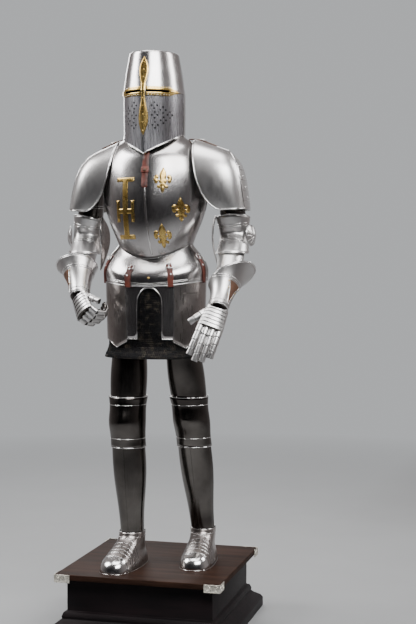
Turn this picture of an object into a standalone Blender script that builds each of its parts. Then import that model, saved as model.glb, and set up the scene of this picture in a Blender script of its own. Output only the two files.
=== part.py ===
"""A suit of plate armour that stands on its wooden display plinth.

Metres, +Z up. The suit faces -Y, and +X is the wearer's left. The origin is the middle of the
plinth's underside. Heights in the tables are above the soles, which stand on the plinth's top.
"""

import math
from collections import namedtuple

import bmesh
import bpy
from mathutils import Matrix, Vector
from mathutils.bvhtree import BVHTree
from mathutils.geometry import delaunay_2d_cdt

# Driving sizes
PLINTH_WIDTH = 0.590
PLINTH_DEPTH = 0.580
PLINTH_HEIGHT = 0.225
TOP_THICKNESS = 0.020
GAP = 0.0003
PLATE = 0.002
BRASS = 0.0015
LEATHER = 0.0025
MAIL = 0.002
SOLE = PLINTH_HEIGHT + GAP
BODY_Y = -0.050
TRUNK_TURN = 7.0
NEST = PLATE + GAP
UNDER = 0.0048
LAP = 0.0031

# Colours, metallic and roughness values
FINISHES = {
    "steel": ((0.60, 0.59, 0.59), 1.0, 0.30),
    "brass": ((0.72, 0.50, 0.18), 1.0, 0.30),
    "leather": ((0.27, 0.10, 0.06), 0.0, 0.60),
    "mail": ((0.05, 0.05, 0.055), 0.9, 0.45),
    "wood": ((0.09, 0.045, 0.03), 0.0, 0.35),
    "silver": ((0.70, 0.68, 0.62), 1.0, 0.35),
}

Ring = namedtuple("Ring", "half_width front back front_s side_s back_s keel")
HelmRow = namedtuple("HelmRow", "s half_width front back keel")
LimbRing = namedtuple("LimbRing", "along half_width front back shift", defaults=[0.0])
LegRing = namedtuple("LegRing", "s half_width front back keel")
WingRow = namedtuple("WingRow", "s_inner s_outer inner outer front back")
BarRow = namedtuple("BarRow", "s half_width")
PlinthStep = namedtuple("PlinthStep", "height overhang")

# The trunk, from the waist edge to the collar
TORSO = [
    Ring(0.136, 0.086, 0.088, 1.088, 1.142, 1.130, 0.010),
    Ring(0.144, 0.109, 0.099, 1.122, 1.166, 1.160, 0.011),
    Ring(0.160, 0.129, 0.110, 1.168, 1.203, 1.204, 0.011),
    Ring(0.178, 0.142, 0.120, 1.226, 1.248, 1.256, 0.010),
    Ring(0.191, 0.147, 0.128, 1.290, 1.302, 1.320, 0.008),
    Ring(0.194, 0.142, 0.128, 1.344, 1.362, 1.378, 0.006),
    Ring(0.188, 0.134, 0.121, 1.390, 1.417, 1.428, 0.004),
    Ring(0.170, 0.127, 0.108, 1.425, 1.464, 1.468, 0.002),
    Ring(0.137, 0.121, 0.090, 1.447, 1.499, 1.506, 0.001),
    Ring(0.101, 0.104, 0.074, 1.470, 1.516, 1.525, 0.0),
    Ring(0.090, 0.088, 0.065, 1.486, 1.535, 1.542, 0.0),
]
# How far round each trunk ring the breastplate and backplate reach, which leaves the armholes
TRUNK_REACH = [89.7, 89.7, 89.7, 89.7, 84.0, 72.0, 67.0, 71.0, 84.0, 89.3, 89.3]

HELM = [
    HelmRow(1.440, 0.1050, 0.128, 0.112, 0.007),
    HelmRow(1.520, 0.1060, 0.129, 0.114, 0.007),
    HelmRow(1.600, 0.1070, 0.131, 0.116, 0.005),
    HelmRow(1.664, 0.1070, 0.132, 0.117, 0.003),
    HelmRow(1.735, 0.0975, 0.123, 0.107, 0.0),
    HelmRow(1.806, 0.0845, 0.111, 0.092, 0.0),
]
HELM_X = -0.003
HELM_TOP = 1.806
HELM_SEAM = 1.664
HELM_POINT = 1.449
HELM_SIDE = 1.5189
HELM_POINT_REACH = 78.0
SIGHT_HEIGHT = 0.008
SIGHT_START = 5.3
SIGHT_END = 48.0
SIGHT_STEP = 0.7
BAND_HALF_HEIGHT = 0.016
BAND_TIP = 75.0
BAND_SHOULDER = 60.0
FRAME_START = 4.9
DEGREE = 0.0019
BAR_LIFT = 0.0005
BAR = [
    BarRow(1.513, 0.0015),
    BarRow(1.534, 0.0100),
    BarRow(1.556, 0.0160),
    BarRow(1.580, 0.0168),
    BarRow(1.606, 0.0125),
    BarRow(1.630, 0.0078),
    BarRow(1.664, 0.0075),
    BarRow(1.690, 0.0085),
    BarRow(1.708, 0.0130),
    BarRow(1.728, 0.0172),
    BarRow(1.748, 0.0170),
    BarRow(1.766, 0.0110),
    BarRow(1.782, 0.0015),
]
# Middles of the four-hole lozenges on one side of the face: degrees round, height
HOLE_LOZENGES = [(20.0, 1.615), (20.5, 1.582), (21.0, 1.548), (36.0, 1.600), (36.5, 1.565), (49.5, 1.584)]
HOLE_RADIUS = 0.0028
HOLE_TURN = 5.0
HOLE_RISE = 0.010

# The fauld: a flange that flares from the waist to a crease, and a hoop below it
FAULD = [
    Ring(0.1229, 0.0709, 0.0789, 1.128, 1.168, 1.162, 0.0),
    Ring(0.1329, 0.0819, 0.0849, 1.092, 1.139, 1.128, 0.0),
    Ring(0.153, 0.100, 0.103, 1.068, 1.117, 1.105, 0.0),
    Ring(0.175, 0.117, 0.118, 1.046, 1.090, 1.080, 0.0),
    Ring(0.190, 0.128, 0.128, 1.027, 1.060, 1.055, 0.0),
    Ring(0.190, 0.128, 0.128, 1.012, 1.038, 1.036, 0.0),
    Ring(0.1885, 0.127, 0.127, 0.993, 1.013, 1.013, 0.0),
]
FAULD_REACH, FAULD_STEPS = 89.3, 12
SKIRT_TOP, SKIRT_LOW = 1.028, 0.806
SKIRT_TAPER = 0.006
SKIRT_ROWS = 5
ARCH_HALF_WIDTH = 0.047
ARCH_TOP = 0.990
STRAP_X = 0.004
SKIRT_TURN = -3.5
TASSET_IN, TASSET_OUT = 28.0, 104.0
TASSET_POINT, TASSET_POINT_AT = 0.026, 44.0
ARCH_PLATE_REACH = 30.0
ARCH_UNDER = 0.0027
BACK_UNDER = 0.0036
STRAP_ANGLES = [-74.0, -27.5, 20.5, 70.0]
STRAP_HALF_WIDTH = 0.011
STRAP_DROP = 0.006

MAIL_RINGS = [
    Ring(0.1735, 0.1105, 0.1105, 1.000, 1.020, 1.020, 0.0),
    Ring(0.1728, 0.1098, 0.1098, 0.822, 0.822, 0.822, 0.0),
    Ring(0.1690, 0.1060, 0.1060, 0.778, 0.784, 0.784, 0.0),
    Ring(0.1800, 0.1220, 0.1180, 0.760, 0.760, 0.760, 0.0),
    Ring(0.1870, 0.1310, 0.1270, 0.742, 0.742, 0.742, 0.0),
]

# A pauldron, wearer's left: its section is a U, open towards the neck, and its rows fall outwards
PAULDRON = [
    WingRow(1.256, 1.262, 0.246, 0.338, -0.134, 0.062),
    WingRow(1.282, 1.285, 0.212, 0.337, -0.142, 0.068),
    WingRow(1.322, 1.320, 0.187, 0.334, -0.149, 0.072),
    WingRow(1.370, 1.362, 0.171, 0.328, -0.150, 0.072),
    WingRow(1.415, 1.398, 0.162, 0.320, -0.144, 0.069),
    WingRow(1.454, 1.428, 0.156, 0.307, -0.130, 0.060),
    WingRow(1.484, 1.449, 0.152, 0.291, -0.108, 0.042),
    WingRow(1.502, 1.461, 0.150, 0.278, -0.080, 0.014),
    WingRow(1.508, 1.465, 0.150, 0.268, -0.046, -0.026),
]
PAULDRON_BEND = 0.62
PAULDRON_SPLIT = -28.0
SHOULDER_STRAPS = {
    "l": [(0.222, 1.4823), (0.185, 1.4958), (0.150, 1.5088), (0.122, 1.5067)],
    "r": [(0.222, 1.4823), (0.185, 1.4958), (0.158, 1.5078), (0.140, 1.5092)],
}
PAULDRON_MIDDLE = 0.011
PAULDRON_NARROWER = 0.022

# Arm joints, for the wearer's left and right
ARM_COLUMNS = "shoulder elbow wrist hand_along hand_back cuff_tilt knuckle bend top fill leaf rosette"
Arm = namedtuple("Arm", ARM_COLUMNS)
ARMS = {
    "l": Arm(
        Vector((0.262, -0.020, 1.370)),
        Vector((0.275, 0.000, 1.170)),
        Vector((0.266, -0.200, 0.924)),
        Vector((-0.23, -0.46, -0.86)),
        Vector((0.30, -0.85, 0.35)),
        cuff_tilt=0.045,
        knuckle=-4.0,
        bend=-5.0,
        top=1.27,
        fill=0.0028,
        leaf=0.0094,
        rosette=0.0630,
    ),
    "r": Arm(
        Vector((-0.236, -0.020, 1.370)),
        Vector((-0.275, 0.000, 1.170)),
        Vector((-0.242, -0.170, 0.960)),
        Vector((0.42, -0.48, -0.77)),
        Vector((-0.60, -0.78, 0.16)),
        cuff_tilt=0.0,
        knuckle=-45.0,
        bend=-48.0,
        top=1.105,
        fill=0.0010,
        leaf=0.0040,
        rosette=0.0588,
    ),
}
UPPER_ARM = [
    LimbRing(0.34, 0.047, 0.0547, 0.0585),
    LimbRing(0.58, 0.043, 0.0520, 0.0550),
    LimbRing(0.80, 0.041, 0.0520, 0.0540),
]
# The elbow plate's rings, along the bone that each is measured by
CouterRing = namedtuple("CouterRing", "bone along half_width front back lift shift")
COUTER = [
    CouterRing("fore", -0.092, 0.0600, 0.060, 0.066, -0.034, 0.006),
    CouterRing("fore", -0.047, 0.0550, 0.051, 0.070, -0.014, 0.003),
    CouterRing("bent", 0.000, 0.0520, 0.044, 0.068, 0.000, 0.0),
    CouterRing("upper", 0.038, 0.0555, 0.051, 0.064, 0.012, 0.0),
    CouterRing("upper", 0.080, 0.0620, 0.060, 0.062, 0.036, 0.0),
]
ELBOW_CLEAR = 0.094
ELBOW_RISE = 0.030
FOREARM = [
    LimbRing(0.00, 0.0325, 0.0305, 0.0305, 0.000),
    LimbRing(0.32, 0.0370, 0.0350, 0.0350, 0.006),
    LimbRing(0.66, 0.0440, 0.0410, 0.0410, 0.011),
    LimbRing(1.00, 0.0450, 0.0390, 0.0420, 0.002),
]
CUFF = [
    LimbRing(-0.004, 0.0355, 0.0355, 0.0355, 0.000),
    LimbRing(0.030, 0.0380, 0.0375, 0.0375, 0.003),
    LimbRing(0.060, 0.0435, 0.0430, 0.0430, 0.008),
    LimbRing(0.088, 0.0530, 0.0515, 0.0515, 0.014),
    LimbRing(0.110, 0.0640, 0.0610, 0.0600, 0.019),
    LimbRing(0.130, 0.0770, 0.0730, 0.0700, 0.025),
]
HAND_LENGTH = 0.082
HAND = [
    LimbRing(-0.0046, 0.0355, 0.0355, 0.0355),
    LimbRing(-0.022, 0.0375, 0.0215, 0.0205),
    LimbRing(-0.048, 0.0430, 0.0180, 0.0175),
    LimbRing(-0.082, 0.0440, 0.0155, 0.0155),
]
FINGER_SPACING = 0.0214
FINGER_WIDTH = 0.0212
FINGER_DEPTH = 0.0180
FINGER_WALL = 0.0018
THUMB_LAMES = (0.030, 0.024, 0.022)
THUMB_BENDS = (0.0, -10.0, -10.0)
FINGER_LAMES = (0.035, 0.033, 0.030, 0.027)
FINGER_LENGTHS = (0.93, 1.05, 1.0, 0.84)

# The leaf on the inside of an elbow, from its low tip up
LeafRow = namedtuple("LeafRow", "rise half_width bulge")
LEAF = [
    LeafRow(-0.122, 0.0010, 0.058),
    LeafRow(-0.085, 0.0120, 0.071),
    LeafRow(-0.045, 0.0210, 0.081),
    LeafRow(-0.005, 0.0270, 0.084),
    LeafRow(0.035, 0.0230, 0.081),
    LeafRow(0.070, 0.0040, 0.070),
]
LEAF_Y = -0.030
ROSETTE_TURN = 16.0

# A leg, as radii round its centre line
CUISSE = [
    LegRing(0.575, 0.0640, 0.066, 0.066, 0.0),
    LegRing(0.640, 0.0680, 0.070, 0.070, 0.003),
    LegRing(0.700, 0.0680, 0.069, 0.068, 0.003),
    LegRing(0.755, 0.0625, 0.064, 0.062, 0.002),
    LegRing(0.800, 0.0675, 0.068, 0.064, 0.0),
]
POLEYN = [
    LegRing(0.420, 0.0650, 0.066, 0.068, 0.003),
    LegRing(0.455, 0.0640, 0.067, 0.062, 0.005),
    LegRing(0.485, 0.0670, 0.077, 0.056, 0.007),
    LegRing(0.510, 0.0690, 0.084, 0.054, 0.009),
    LegRing(0.535, 0.0680, 0.080, 0.058, 0.006),
    LegRing(0.565, 0.0665, 0.072, 0.066, 0.003),
    LegRing(0.600, 0.0720, 0.076, 0.074, 0.0),
]
GREAVE = [
    LegRing(0.097, 0.0428, 0.048, 0.046, 0.0),
    LegRing(0.125, 0.0434, 0.047, 0.045, 0.003),
    LegRing(0.165, 0.0450, 0.048, 0.046, 0.005),
    LegRing(0.220, 0.0500, 0.051, 0.054, 0.006),
    LegRing(0.290, 0.0585, 0.055, 0.068, 0.006),
    LegRing(0.350, 0.0620, 0.056, 0.073, 0.005),
    LegRing(0.400, 0.0615, 0.056, 0.070, 0.004),
    LegRing(0.450, 0.0610, 0.060, 0.059, 0.002),
]
Leg = namedtuple("Leg", "hip knee ankle toe_turn")
LEGS = {
    "l": Leg(
        hip=Vector((0.0915, -0.060, 0.860)),
        knee=Vector((0.118, 0.005, 0.500)),
        ankle=Vector((0.142, 0.070, 0.100)),
        toe_turn=3.0,
    ),
    "r": Leg(
        hip=Vector((-0.0950, -0.050, 0.860)),
        knee=Vector((-0.103, -0.062, 0.500)),
        ankle=Vector((-0.087, -0.056, 0.100)),
        toe_turn=-7.0,
    ),
}
SabatonRow = namedtuple("SabatonRow", "s half_width toe heel")
SABATON = [
    SabatonRow(0.000, 0.0640, 0.200, 0.075),
    SabatonRow(0.020, 0.0620, 0.198, 0.074),
    SabatonRow(0.040, 0.0560, 0.184, 0.068),
    SabatonRow(0.052, 0.0515, 0.158, 0.063),
    SabatonRow(0.066, 0.0490, 0.122, 0.058),
    SabatonRow(0.082, 0.0475, 0.088, 0.055),
    SabatonRow(0.100, 0.0475, 0.060, 0.0540),
    SabatonRow(0.116, 0.0480, 0.0560, 0.0530),
]
SABATON_NARROW = 0.30

# The plinth's base moulding, from the floor up, as it stands out from the box
PLINTH_STEPS = [
    PlinthStep(0.000, 0.052),
    PlinthStep(0.032, 0.052),
    PlinthStep(0.044, 0.044),
    PlinthStep(0.058, 0.022),
    PlinthStep(0.066, 0.014),
    PlinthStep(0.074, 0.016),
    PlinthStep(0.088, 0.010),
    PlinthStep(0.092, 0.000),
]
BOX_INSET = 0.034
BRACKET_LENGTH = 0.056
BRACKET_HEIGHT = 0.028
BRACKET_THICKNESS = 0.0015

# Columns of a limb's rings and of the hand's, in degrees round
ROUND = [22.5 * i for i in range(16)]
HAND_ROUND = [30.0 * i for i in range(12)]

materials = {}


def material(finish):
    """The Principled material of one finish, made once."""
    if finish not in materials:
        colour, metallic, roughness = FINISHES[finish]
        made = bpy.data.materials.new(finish)
        made.use_nodes = True
        shader = made.node_tree.nodes["Principled BSDF"]
        shader.inputs["Base Color"].default_value = (*colour, 1.0)
        shader.inputs["Metallic"].default_value = metallic
        shader.inputs["Roughness"].default_value = roughness
        materials[finish] = made
    return materials[finish]


def add_object(name, points, faces, finish):
    """A mesh object from points and faces, shaded smooth with sharp creases."""
    mesh = bpy.data.meshes.new(name)
    mesh.from_pydata(points, [], faces)
    mesh.materials.append(material(finish))
    obj = bpy.data.objects.new(name, mesh)
    bpy.context.scene.collection.objects.link(obj)
    mesh.shade_smooth()
    mesh.set_sharp_from_angle(angle=math.radians(35))
    return obj


def thicken(obj, wall, outwards=False):
    """Gives a sheet a wall, inwards from its points or outwards from them."""
    modifier = obj.modifiers.new("wall", "SOLIDIFY")
    modifier.thickness = wall
    modifier.offset = 1.0 if outwards else -1.0
    modifier.use_even_offset = True
    modifier.use_quality_normals = True
    return obj


def grid_faces(rows, columns, closed):
    """Quads between rows of points, joined round when the rows are closed rings."""
    faces = []
    for i in range(rows - 1):
        for j in range(columns if closed else columns - 1):
            k = (j + 1) % columns
            faces.append((i * columns + j, i * columns + k, (i + 1) * columns + k, (i + 1) * columns + j))
    return faces


def sheet(name, rows, finish, wall=PLATE, closed=False, outwards=False, triangles=False):
    """A wall through rows of points, which run from low to high and turn to the left seen from above."""
    points = [p for row in rows for p in row]
    faces = grid_faces(len(rows), len(rows[0]), closed)
    obj = add_object(name, points, split(faces) if triangles else faces, finish)
    return thicken(obj, wall, outwards)


def mirrored(rows, middle=0.0):
    """The same sheet on the other side of a plane across X, with its outside still outside."""
    return [[Vector((2 * middle - p.x, p.y, p.z)) for p in reversed(row)] for row in rows]


def spread(first, last, steps):
    """Evenly spaced numbers from first to last."""
    return [first + (last - first) * i / steps for i in range(steps + 1)]


def between(table, column, value):
    """A row of a table, read between its rows by the value in one column."""
    for low, high in zip(table, table[1:]):
        if value <= getattr(high, column) or high is table[-1]:
            share = (value - getattr(low, column)) / (getattr(high, column) - getattr(low, column))
            return low._make(a + (b - a) * share for a, b in zip(low, high))
    return table[-1]


def keel_share(degrees, reach=24.0):
    """How much of a front ridge stands at this angle: all at the middle, none past its reach."""
    return max(0.0, 1.0 - abs(degrees) / reach)


def ring_point(ring, degrees, out=0.0):
    """A point on a trunk ring. 0 degrees is the ridge in front and 90 is the wearer's left."""
    turn = math.radians(degrees + TRUNK_TURN)
    ahead = math.cos(turn)
    depth = ring.front if ahead > 0 else ring.back
    end_s = ring.front_s if ahead > 0 else ring.back_s
    depth += ring.keel * keel_share(degrees) + out
    s = ring.side_s + (end_s - ring.side_s) * ahead * ahead
    return Vector(((ring.half_width + out) * math.sin(turn), BODY_Y - depth * ahead, SOLE + s))


def ring_between(table, level):
    """A ring between the rings of a table, by its place in the list."""
    low = min(int(level), len(table) - 2)
    share = level - low
    return Ring._make(a + (b - a) * share for a, b in zip(table[low], table[low + 1]))


def split(faces):
    """Each quad as two triangles, all along the same diagonal."""
    return [half for a, b, c, d in faces for half in ((a, b, c), (a, c, d))]


def cut_out(name, outline, creases, place, finish="brass", wall=BRASS):
    """A flat cut-out, bent along the creases of the panel it lies on. Place finds a flat point's spot."""
    flat = [Vector(p) for p in outline]
    count = len(flat)
    edges = [(i, (i + 1) % count) for i in range(count)]
    for start, end in creases:
        edges.append((len(flat), len(flat) + 1))
        flat += [Vector(start), Vector(end)]
    spots, _, faces, _, _, inside = delaunay_2d_cdt(flat, edges, [tuple(range(count))], 0, 2e-5)
    faces = [face for face, owners in zip(faces, inside) if 0 in owners]
    used = sorted({i for face in faces for i in face})
    number = {old: new for new, old in enumerate(used)}
    points = [place(spots[i].x, spots[i].y) for i in used]
    faces = [tuple(number[i] for i in face) for face in faces]
    return thicken(add_object(name, points, faces, finish), wall, outwards=True)


def panel_of(rows):
    """A sheet as a search tree, with its edges as they are seen from the front."""
    points = [p for row in rows for p in row]
    faces = split(grid_faces(len(rows), len(rows[0]), False))
    pairs = {tuple(sorted((face[i], face[i - 1]))) for face in faces for i in range(3)}
    edges = [((points[a].x, points[a].z - SOLE), (points[b].x, points[b].z - SOLE)) for a, b in sorted(pairs)]
    return BVHTree.FromPolygons(points, faces), edges


def laid_on(tree, x, s, out):
    """The point of a panel that is seen from the front at x and height s, moved out."""
    spot, normal, _, _ = tree.ray_cast(Vector((x, -1.0, SOLE + s)), Vector((0, 1, 0)))
    return spot + (normal if normal.y < 0 else -normal) * out


def near(edges, outline):
    """The edges that may cross an outline."""
    lows = [min(p[i] for p in outline) for i in (0, 1)]
    highs = [max(p[i] for p in outline) for i in (0, 1)]
    return [
        (a, b)
        for a, b in edges
        if all(max(a[i], b[i]) > lows[i] and min(a[i], b[i]) < highs[i] for i in (0, 1))
    ]


def plaque(name, outline, panel):
    """A brass cut-out laid on a panel. The outline is in x and height, and turns to the left."""
    tree, edges = panel
    cut_out(name, outline, near(edges, outline), lambda x, s: laid_on(tree, x, s, GAP))


def loft(points_rows):
    """Points and faces of a closed body through rings, with a cap at each end."""
    columns = len(points_rows[0])
    points = [p for row in points_rows for p in row]
    faces = grid_faces(len(points_rows), columns, True)
    faces.append(tuple(reversed(range(columns))))
    faces.append(tuple(range(len(points) - columns, len(points))))
    return points, faces


def fan(reach, steps):
    """Evenly spaced angles from -reach to reach."""
    return spread(-reach, reach, steps)


# Helm


def helm_point(degrees, s, out=0.0):
    """A point on the helm at a height above the soles."""
    row = between(HELM, "s", s)
    turn = math.radians(degrees)
    ahead = math.cos(turn)
    depth = (row.front if ahead > 0 else row.back) + row.keel * keel_share(degrees, 16.0) + out
    return Vector((HELM_X + (row.half_width + out) * math.sin(turn), BODY_Y - depth * ahead, SOLE + s))


def helm_low_edge(degrees):
    """The helm's lower edge: level behind, and running down to a point in front."""
    share = min(1.0, abs((degrees + 180) % 360 - 180) / HELM_POINT_REACH)
    return HELM_POINT + (HELM_SIDE - HELM_POINT) * share ** 0.85


def sight_share(degrees):
    """1 where the sight is cut, and 0 elsewhere."""
    return 1.0 if SIGHT_START <= abs(degrees) <= SIGHT_END else 0.0


def helm_columns():
    """Angles of the helm's front half, with close pairs where the sight starts and ends."""
    half = [0.0, SIGHT_START - SIGHT_STEP, SIGHT_START, 14.0, 24.0, 36.0, SIGHT_END, SIGHT_END + SIGHT_STEP]
    half += [60.0, 75.0, 89.6]
    return [-a for a in reversed(half[1:])] + half


def make_helm():
    """The skull with its flat top, the face and nape plates, and the brass cross."""
    front = helm_columns()
    around = front + [105.0, 120.0, 135.0, 150.0, 165.0, 180.0, 195.0, 210.0, 225.0, 240.0, 255.0]
    half_sight = SIGHT_HEIGHT / 2
    skull = []
    for height in (0.0, 0.5, 1.0):
        row = []
        for a in around:
            low = HELM_SEAM + GAP + half_sight * sight_share(a)
            row.append(helm_point(a, low + (HELM_TOP - low) * height))
        skull.append(row)
    points = [p for row in skull for p in row]
    faces = grid_faces(len(skull), len(around), True)
    faces.append(tuple(range(len(points) - len(around), len(points))))
    thicken(add_object("helm_skull", points, faces, "steel"), PLATE)

    face_rows = []
    for height in (0.0, 0.25, 0.5, 0.75, 1.0):
        row = []
        for a in front:
            high = HELM_SEAM - GAP / 2 - half_sight * sight_share(a)
            low = helm_low_edge(a)
            row.append(helm_point(a, low + (high - low) * height))
        face_rows.append(row)
    face = sheet("helm_face", face_rows, "steel")
    cut_breaths(face)

    nape_rows = []
    for height in (0.0, 0.5, 1.0):
        row = []
        for a in spread(90.4, 269.6, 12):
            low = helm_low_edge(a)
            row.append(helm_point(a, low + (HELM_SEAM - GAP / 2 - low) * height))
        nape_rows.append(row)
    sheet("helm_nape", nape_rows, "steel")
    make_helm_cross()


def hexagonal_cutter(points, faces, middle, along, radius, length):
    """Adds a six-sided bar to a cutter."""
    side = along.cross(Vector((0, 0, 1))).normalized()
    up = side.cross(along)
    start = len(points)
    for end in (-length / 2, length / 2):
        for i in range(6):
            turn = math.radians(60 * i)
            points.append(middle + along * end + (side * math.cos(turn) + up * math.sin(turn)) * radius)
    ring = list(range(start, start + 6))
    faces.append(tuple(ring))
    faces.append(tuple(i + 6 for i in reversed(ring)))
    for i in range(6):
        j = (i + 1) % 6
        faces.append((ring[j], ring[i], ring[i] + 6, ring[j] + 6))


def cut_breaths(face):
    """Cuts the breathing holes through the face plate."""
    points, faces = [], []
    for side in (-1, 1):
        for degrees, s in HOLE_LOZENGES:
            for turn, rise in ((-HOLE_TURN, 0), (HOLE_TURN, 0), (0, -HOLE_RISE), (0, HOLE_RISE)):
                angle = side * (degrees + turn)
                middle = helm_point(angle, s + rise)
                along = Vector((math.sin(math.radians(angle)), -math.cos(math.radians(angle)), 0))
                hexagonal_cutter(points, faces, middle, along, HOLE_RADIUS, 0.016)
    cutter = add_object("breath_cutter", points, faces, "steel")
    make_normals_face_out(cutter)
    cutter.hide_render = True
    cutter.display_type = "WIRE"
    modifier = face.modifiers.new("breaths", "BOOLEAN")
    modifier.operation = "DIFFERENCE"
    modifier.solver = "EXACT"
    modifier.object = cutter


def make_normals_face_out(obj):
    """Turns the faces of a closed mesh outwards."""
    mesh = bmesh.new()
    mesh.from_mesh(obj.data)
    bmesh.ops.recalc_face_normals(mesh, faces=mesh.faces)
    mesh.to_mesh(obj.data)
    mesh.free()


def make_helm_cross():
    """The upright bar, and a brass frame round each half of the sight."""
    bar_rows = []
    for row in BAR:
        turn = math.degrees(row.half_width / between(HELM, "s", row.s).half_width)
        bar_rows.append([helm_point(a, row.s, BAR_LIFT) for a in (-turn, -turn / 2, 0.0, turn / 2, turn)])
    sheet("helm_bar", bar_rows, "brass", BRASS, outwards=True)
    half = SIGHT_HEIGHT / 2
    columns = [a for a in helm_columns() if a > FRAME_START]
    for side, name in ((1, "helm_sight_frame_l"), (-1, "helm_sight_frame_r")):
        outline = [(FRAME_START, half), (SIGHT_END, half), (SIGHT_END + SIGHT_STEP, 0.0), (SIGHT_END, -half)]
        outline += [(FRAME_START, -half), (FRAME_START, -BAND_HALF_HEIGHT), (SIGHT_END, -BAND_HALF_HEIGHT)]
        outline += [(BAND_SHOULDER, -0.008), (BAND_TIP, 0.0), (BAND_SHOULDER, 0.008)]
        outline += [(SIGHT_END, BAND_HALF_HEIGHT), (FRAME_START, BAND_HALF_HEIGHT)]
        outline = [(side * a * DEGREE, HELM_SEAM + h) for a, h in outline]
        if side < 0:
            outline.reverse()
        creases = []
        for a in columns:
            creases.append(((side * a * DEGREE, HELM_SEAM - 0.02), (side * a * DEGREE, HELM_SEAM + 0.02)))
        creases.append(((side * FRAME_START * DEGREE, HELM_SEAM), (side * 80 * DEGREE, HELM_SEAM)))
        cut_out(name, outline, creases, lambda u, s: helm_chord(u / DEGREE, s, GAP * 1.2))


def helm_chord(degrees, s, out):
    """A point on the helm's flat facets, between two of its columns."""
    columns = helm_columns()
    for low, high in zip(columns, columns[1:]):
        if low - 1e-6 <= degrees <= high + 1e-6:
            share = (degrees - low) / (high - low)
            return helm_point(low, s, out).lerp(helm_point(high, s, out), share)
    return helm_point(degrees, s, out)


# Cuirass


def make_cuirass():
    """The breastplate and backplate, the arms in brass on the breast, and the straps."""
    breast = [[ring_point(ring, a) for a in fan(reach, 16)] for ring, reach in zip(TORSO, TRUNK_REACH)]
    sheet("breastplate", breast, "steel", triangles=True)
    back = []
    for ring, reach in zip(TORSO, TRUNK_REACH):
        back.append([ring_point(ring, 180 + a) for a in fan(reach, 12)])
    sheet("backplate", back, "steel")
    panel = panel_of(breast)
    make_charges(panel)
    make_helm_strap(panel)


def fleur_outline(x, s, size):
    """A heraldic lily as half an outline, and the same half mirrored. Sizes are shares of its height."""
    half = [
        (0.000, -0.500), (0.060, -0.400), (0.075, -0.300), (0.045, -0.215), (0.120, -0.300), (0.205, -0.290),
        (0.225, -0.215), (0.150, -0.205), (0.085, -0.120), (0.145, -0.105), (0.150, -0.020), (0.205, -0.045),
        (0.235, -0.110), (0.330, -0.080), (0.355, 0.040), (0.325, 0.150), (0.240, 0.190), (0.175, 0.150),
        (0.180, 0.070), (0.235, 0.055), (0.190, 0.010), (0.100, 0.030), (0.125, 0.150), (0.105, 0.290),
        (0.045, 0.410), (0.000, 0.500),
    ]
    left = [(-a, b) for a, b in reversed(half[1:-1])]
    return [(x + a * size, s + b * size) for a, b in half + left]


def potent_outline(x, s):
    """A tall cross with a bar across each end, from its arms' real sizes."""
    arm, cap, half_cap, rise = 0.0075, 0.0065, 0.032, 0.106
    side_reach, side_half, side_rise, side_cap = 0.034, 0.006, -0.010, 0.036
    right = [
        (half_cap, -rise), (half_cap, -rise + 2 * cap), (arm, -rise + 2 * cap),
        (arm, -0.065), (arm, side_rise - side_half),
        (side_reach - 0.009, side_rise - side_half), (side_reach - 0.009, side_rise - side_cap),
        (side_reach, side_rise - side_cap), (side_reach, side_rise + side_cap),
        (side_reach - 0.009, side_rise + side_cap), (side_reach - 0.009, side_rise + side_half),
        (arm, side_rise + side_half), (arm, 0.030), (arm, 0.060),
        (arm, rise - 2 * cap), (half_cap, rise - 2 * cap), (half_cap, rise),
    ]
    left = [(-a, b) for a, b in reversed(right)]
    return [(x + a, s + b) for a, b in right + left]


def make_charges(panel):
    """The tall cross on the wearer's right and three lilies on the left."""
    plaque("breast_cross", potent_outline(-0.069, 1.263), panel)
    for number, (x, s) in enumerate(((0.066, 1.358), (0.123, 1.258), (0.057, 1.168)), 1):
        plaque(f"breast_lily_{number}", fleur_outline(x, s, 0.083), panel)


def make_helm_strap(panel):
    """The leather strap that runs down from under the helm's point, and the keeper across it."""
    half, low, high = 0.0105, 1.330, 1.456
    outline = [(STRAP_X - half, low + 0.006), (STRAP_X, low), (STRAP_X + half, low + 0.006)]
    outline += [(STRAP_X + half, high), (STRAP_X - half, high)]
    tree, edges = panel
    creases = near(edges, outline)
    cut_out("helm_strap", outline, creases, lambda x, s: laid_on(tree, x, s, GAP), "leather", LEATHER)
    x, s = 0.0135, 0.010
    outline = [(STRAP_X + a * x, 1.394 + b * s) for a, b in ((-1, -1), (1, -1), (1, 1), (-1, 1))]
    over = LEATHER + 3 * GAP
    creases = near(edges, outline)
    cut_out("helm_strap_keeper", outline, creases, lambda x, s: laid_on(tree, x, s, over), "leather")


# Fauld, skirt plates and mail


def fauld_chord(ring, degrees, out):
    """A point on the fauld's flat facets, between two of its columns."""
    columns = fan(FAULD_REACH, FAULD_STEPS)
    for low, high in zip(columns, columns[1:]):
        if low <= degrees <= high:
            share = (degrees - low) / (high - low)
            return ring_point(ring, low, out).lerp(ring_point(ring, high, out), share)
    return ring_point(ring, degrees, out)


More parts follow.
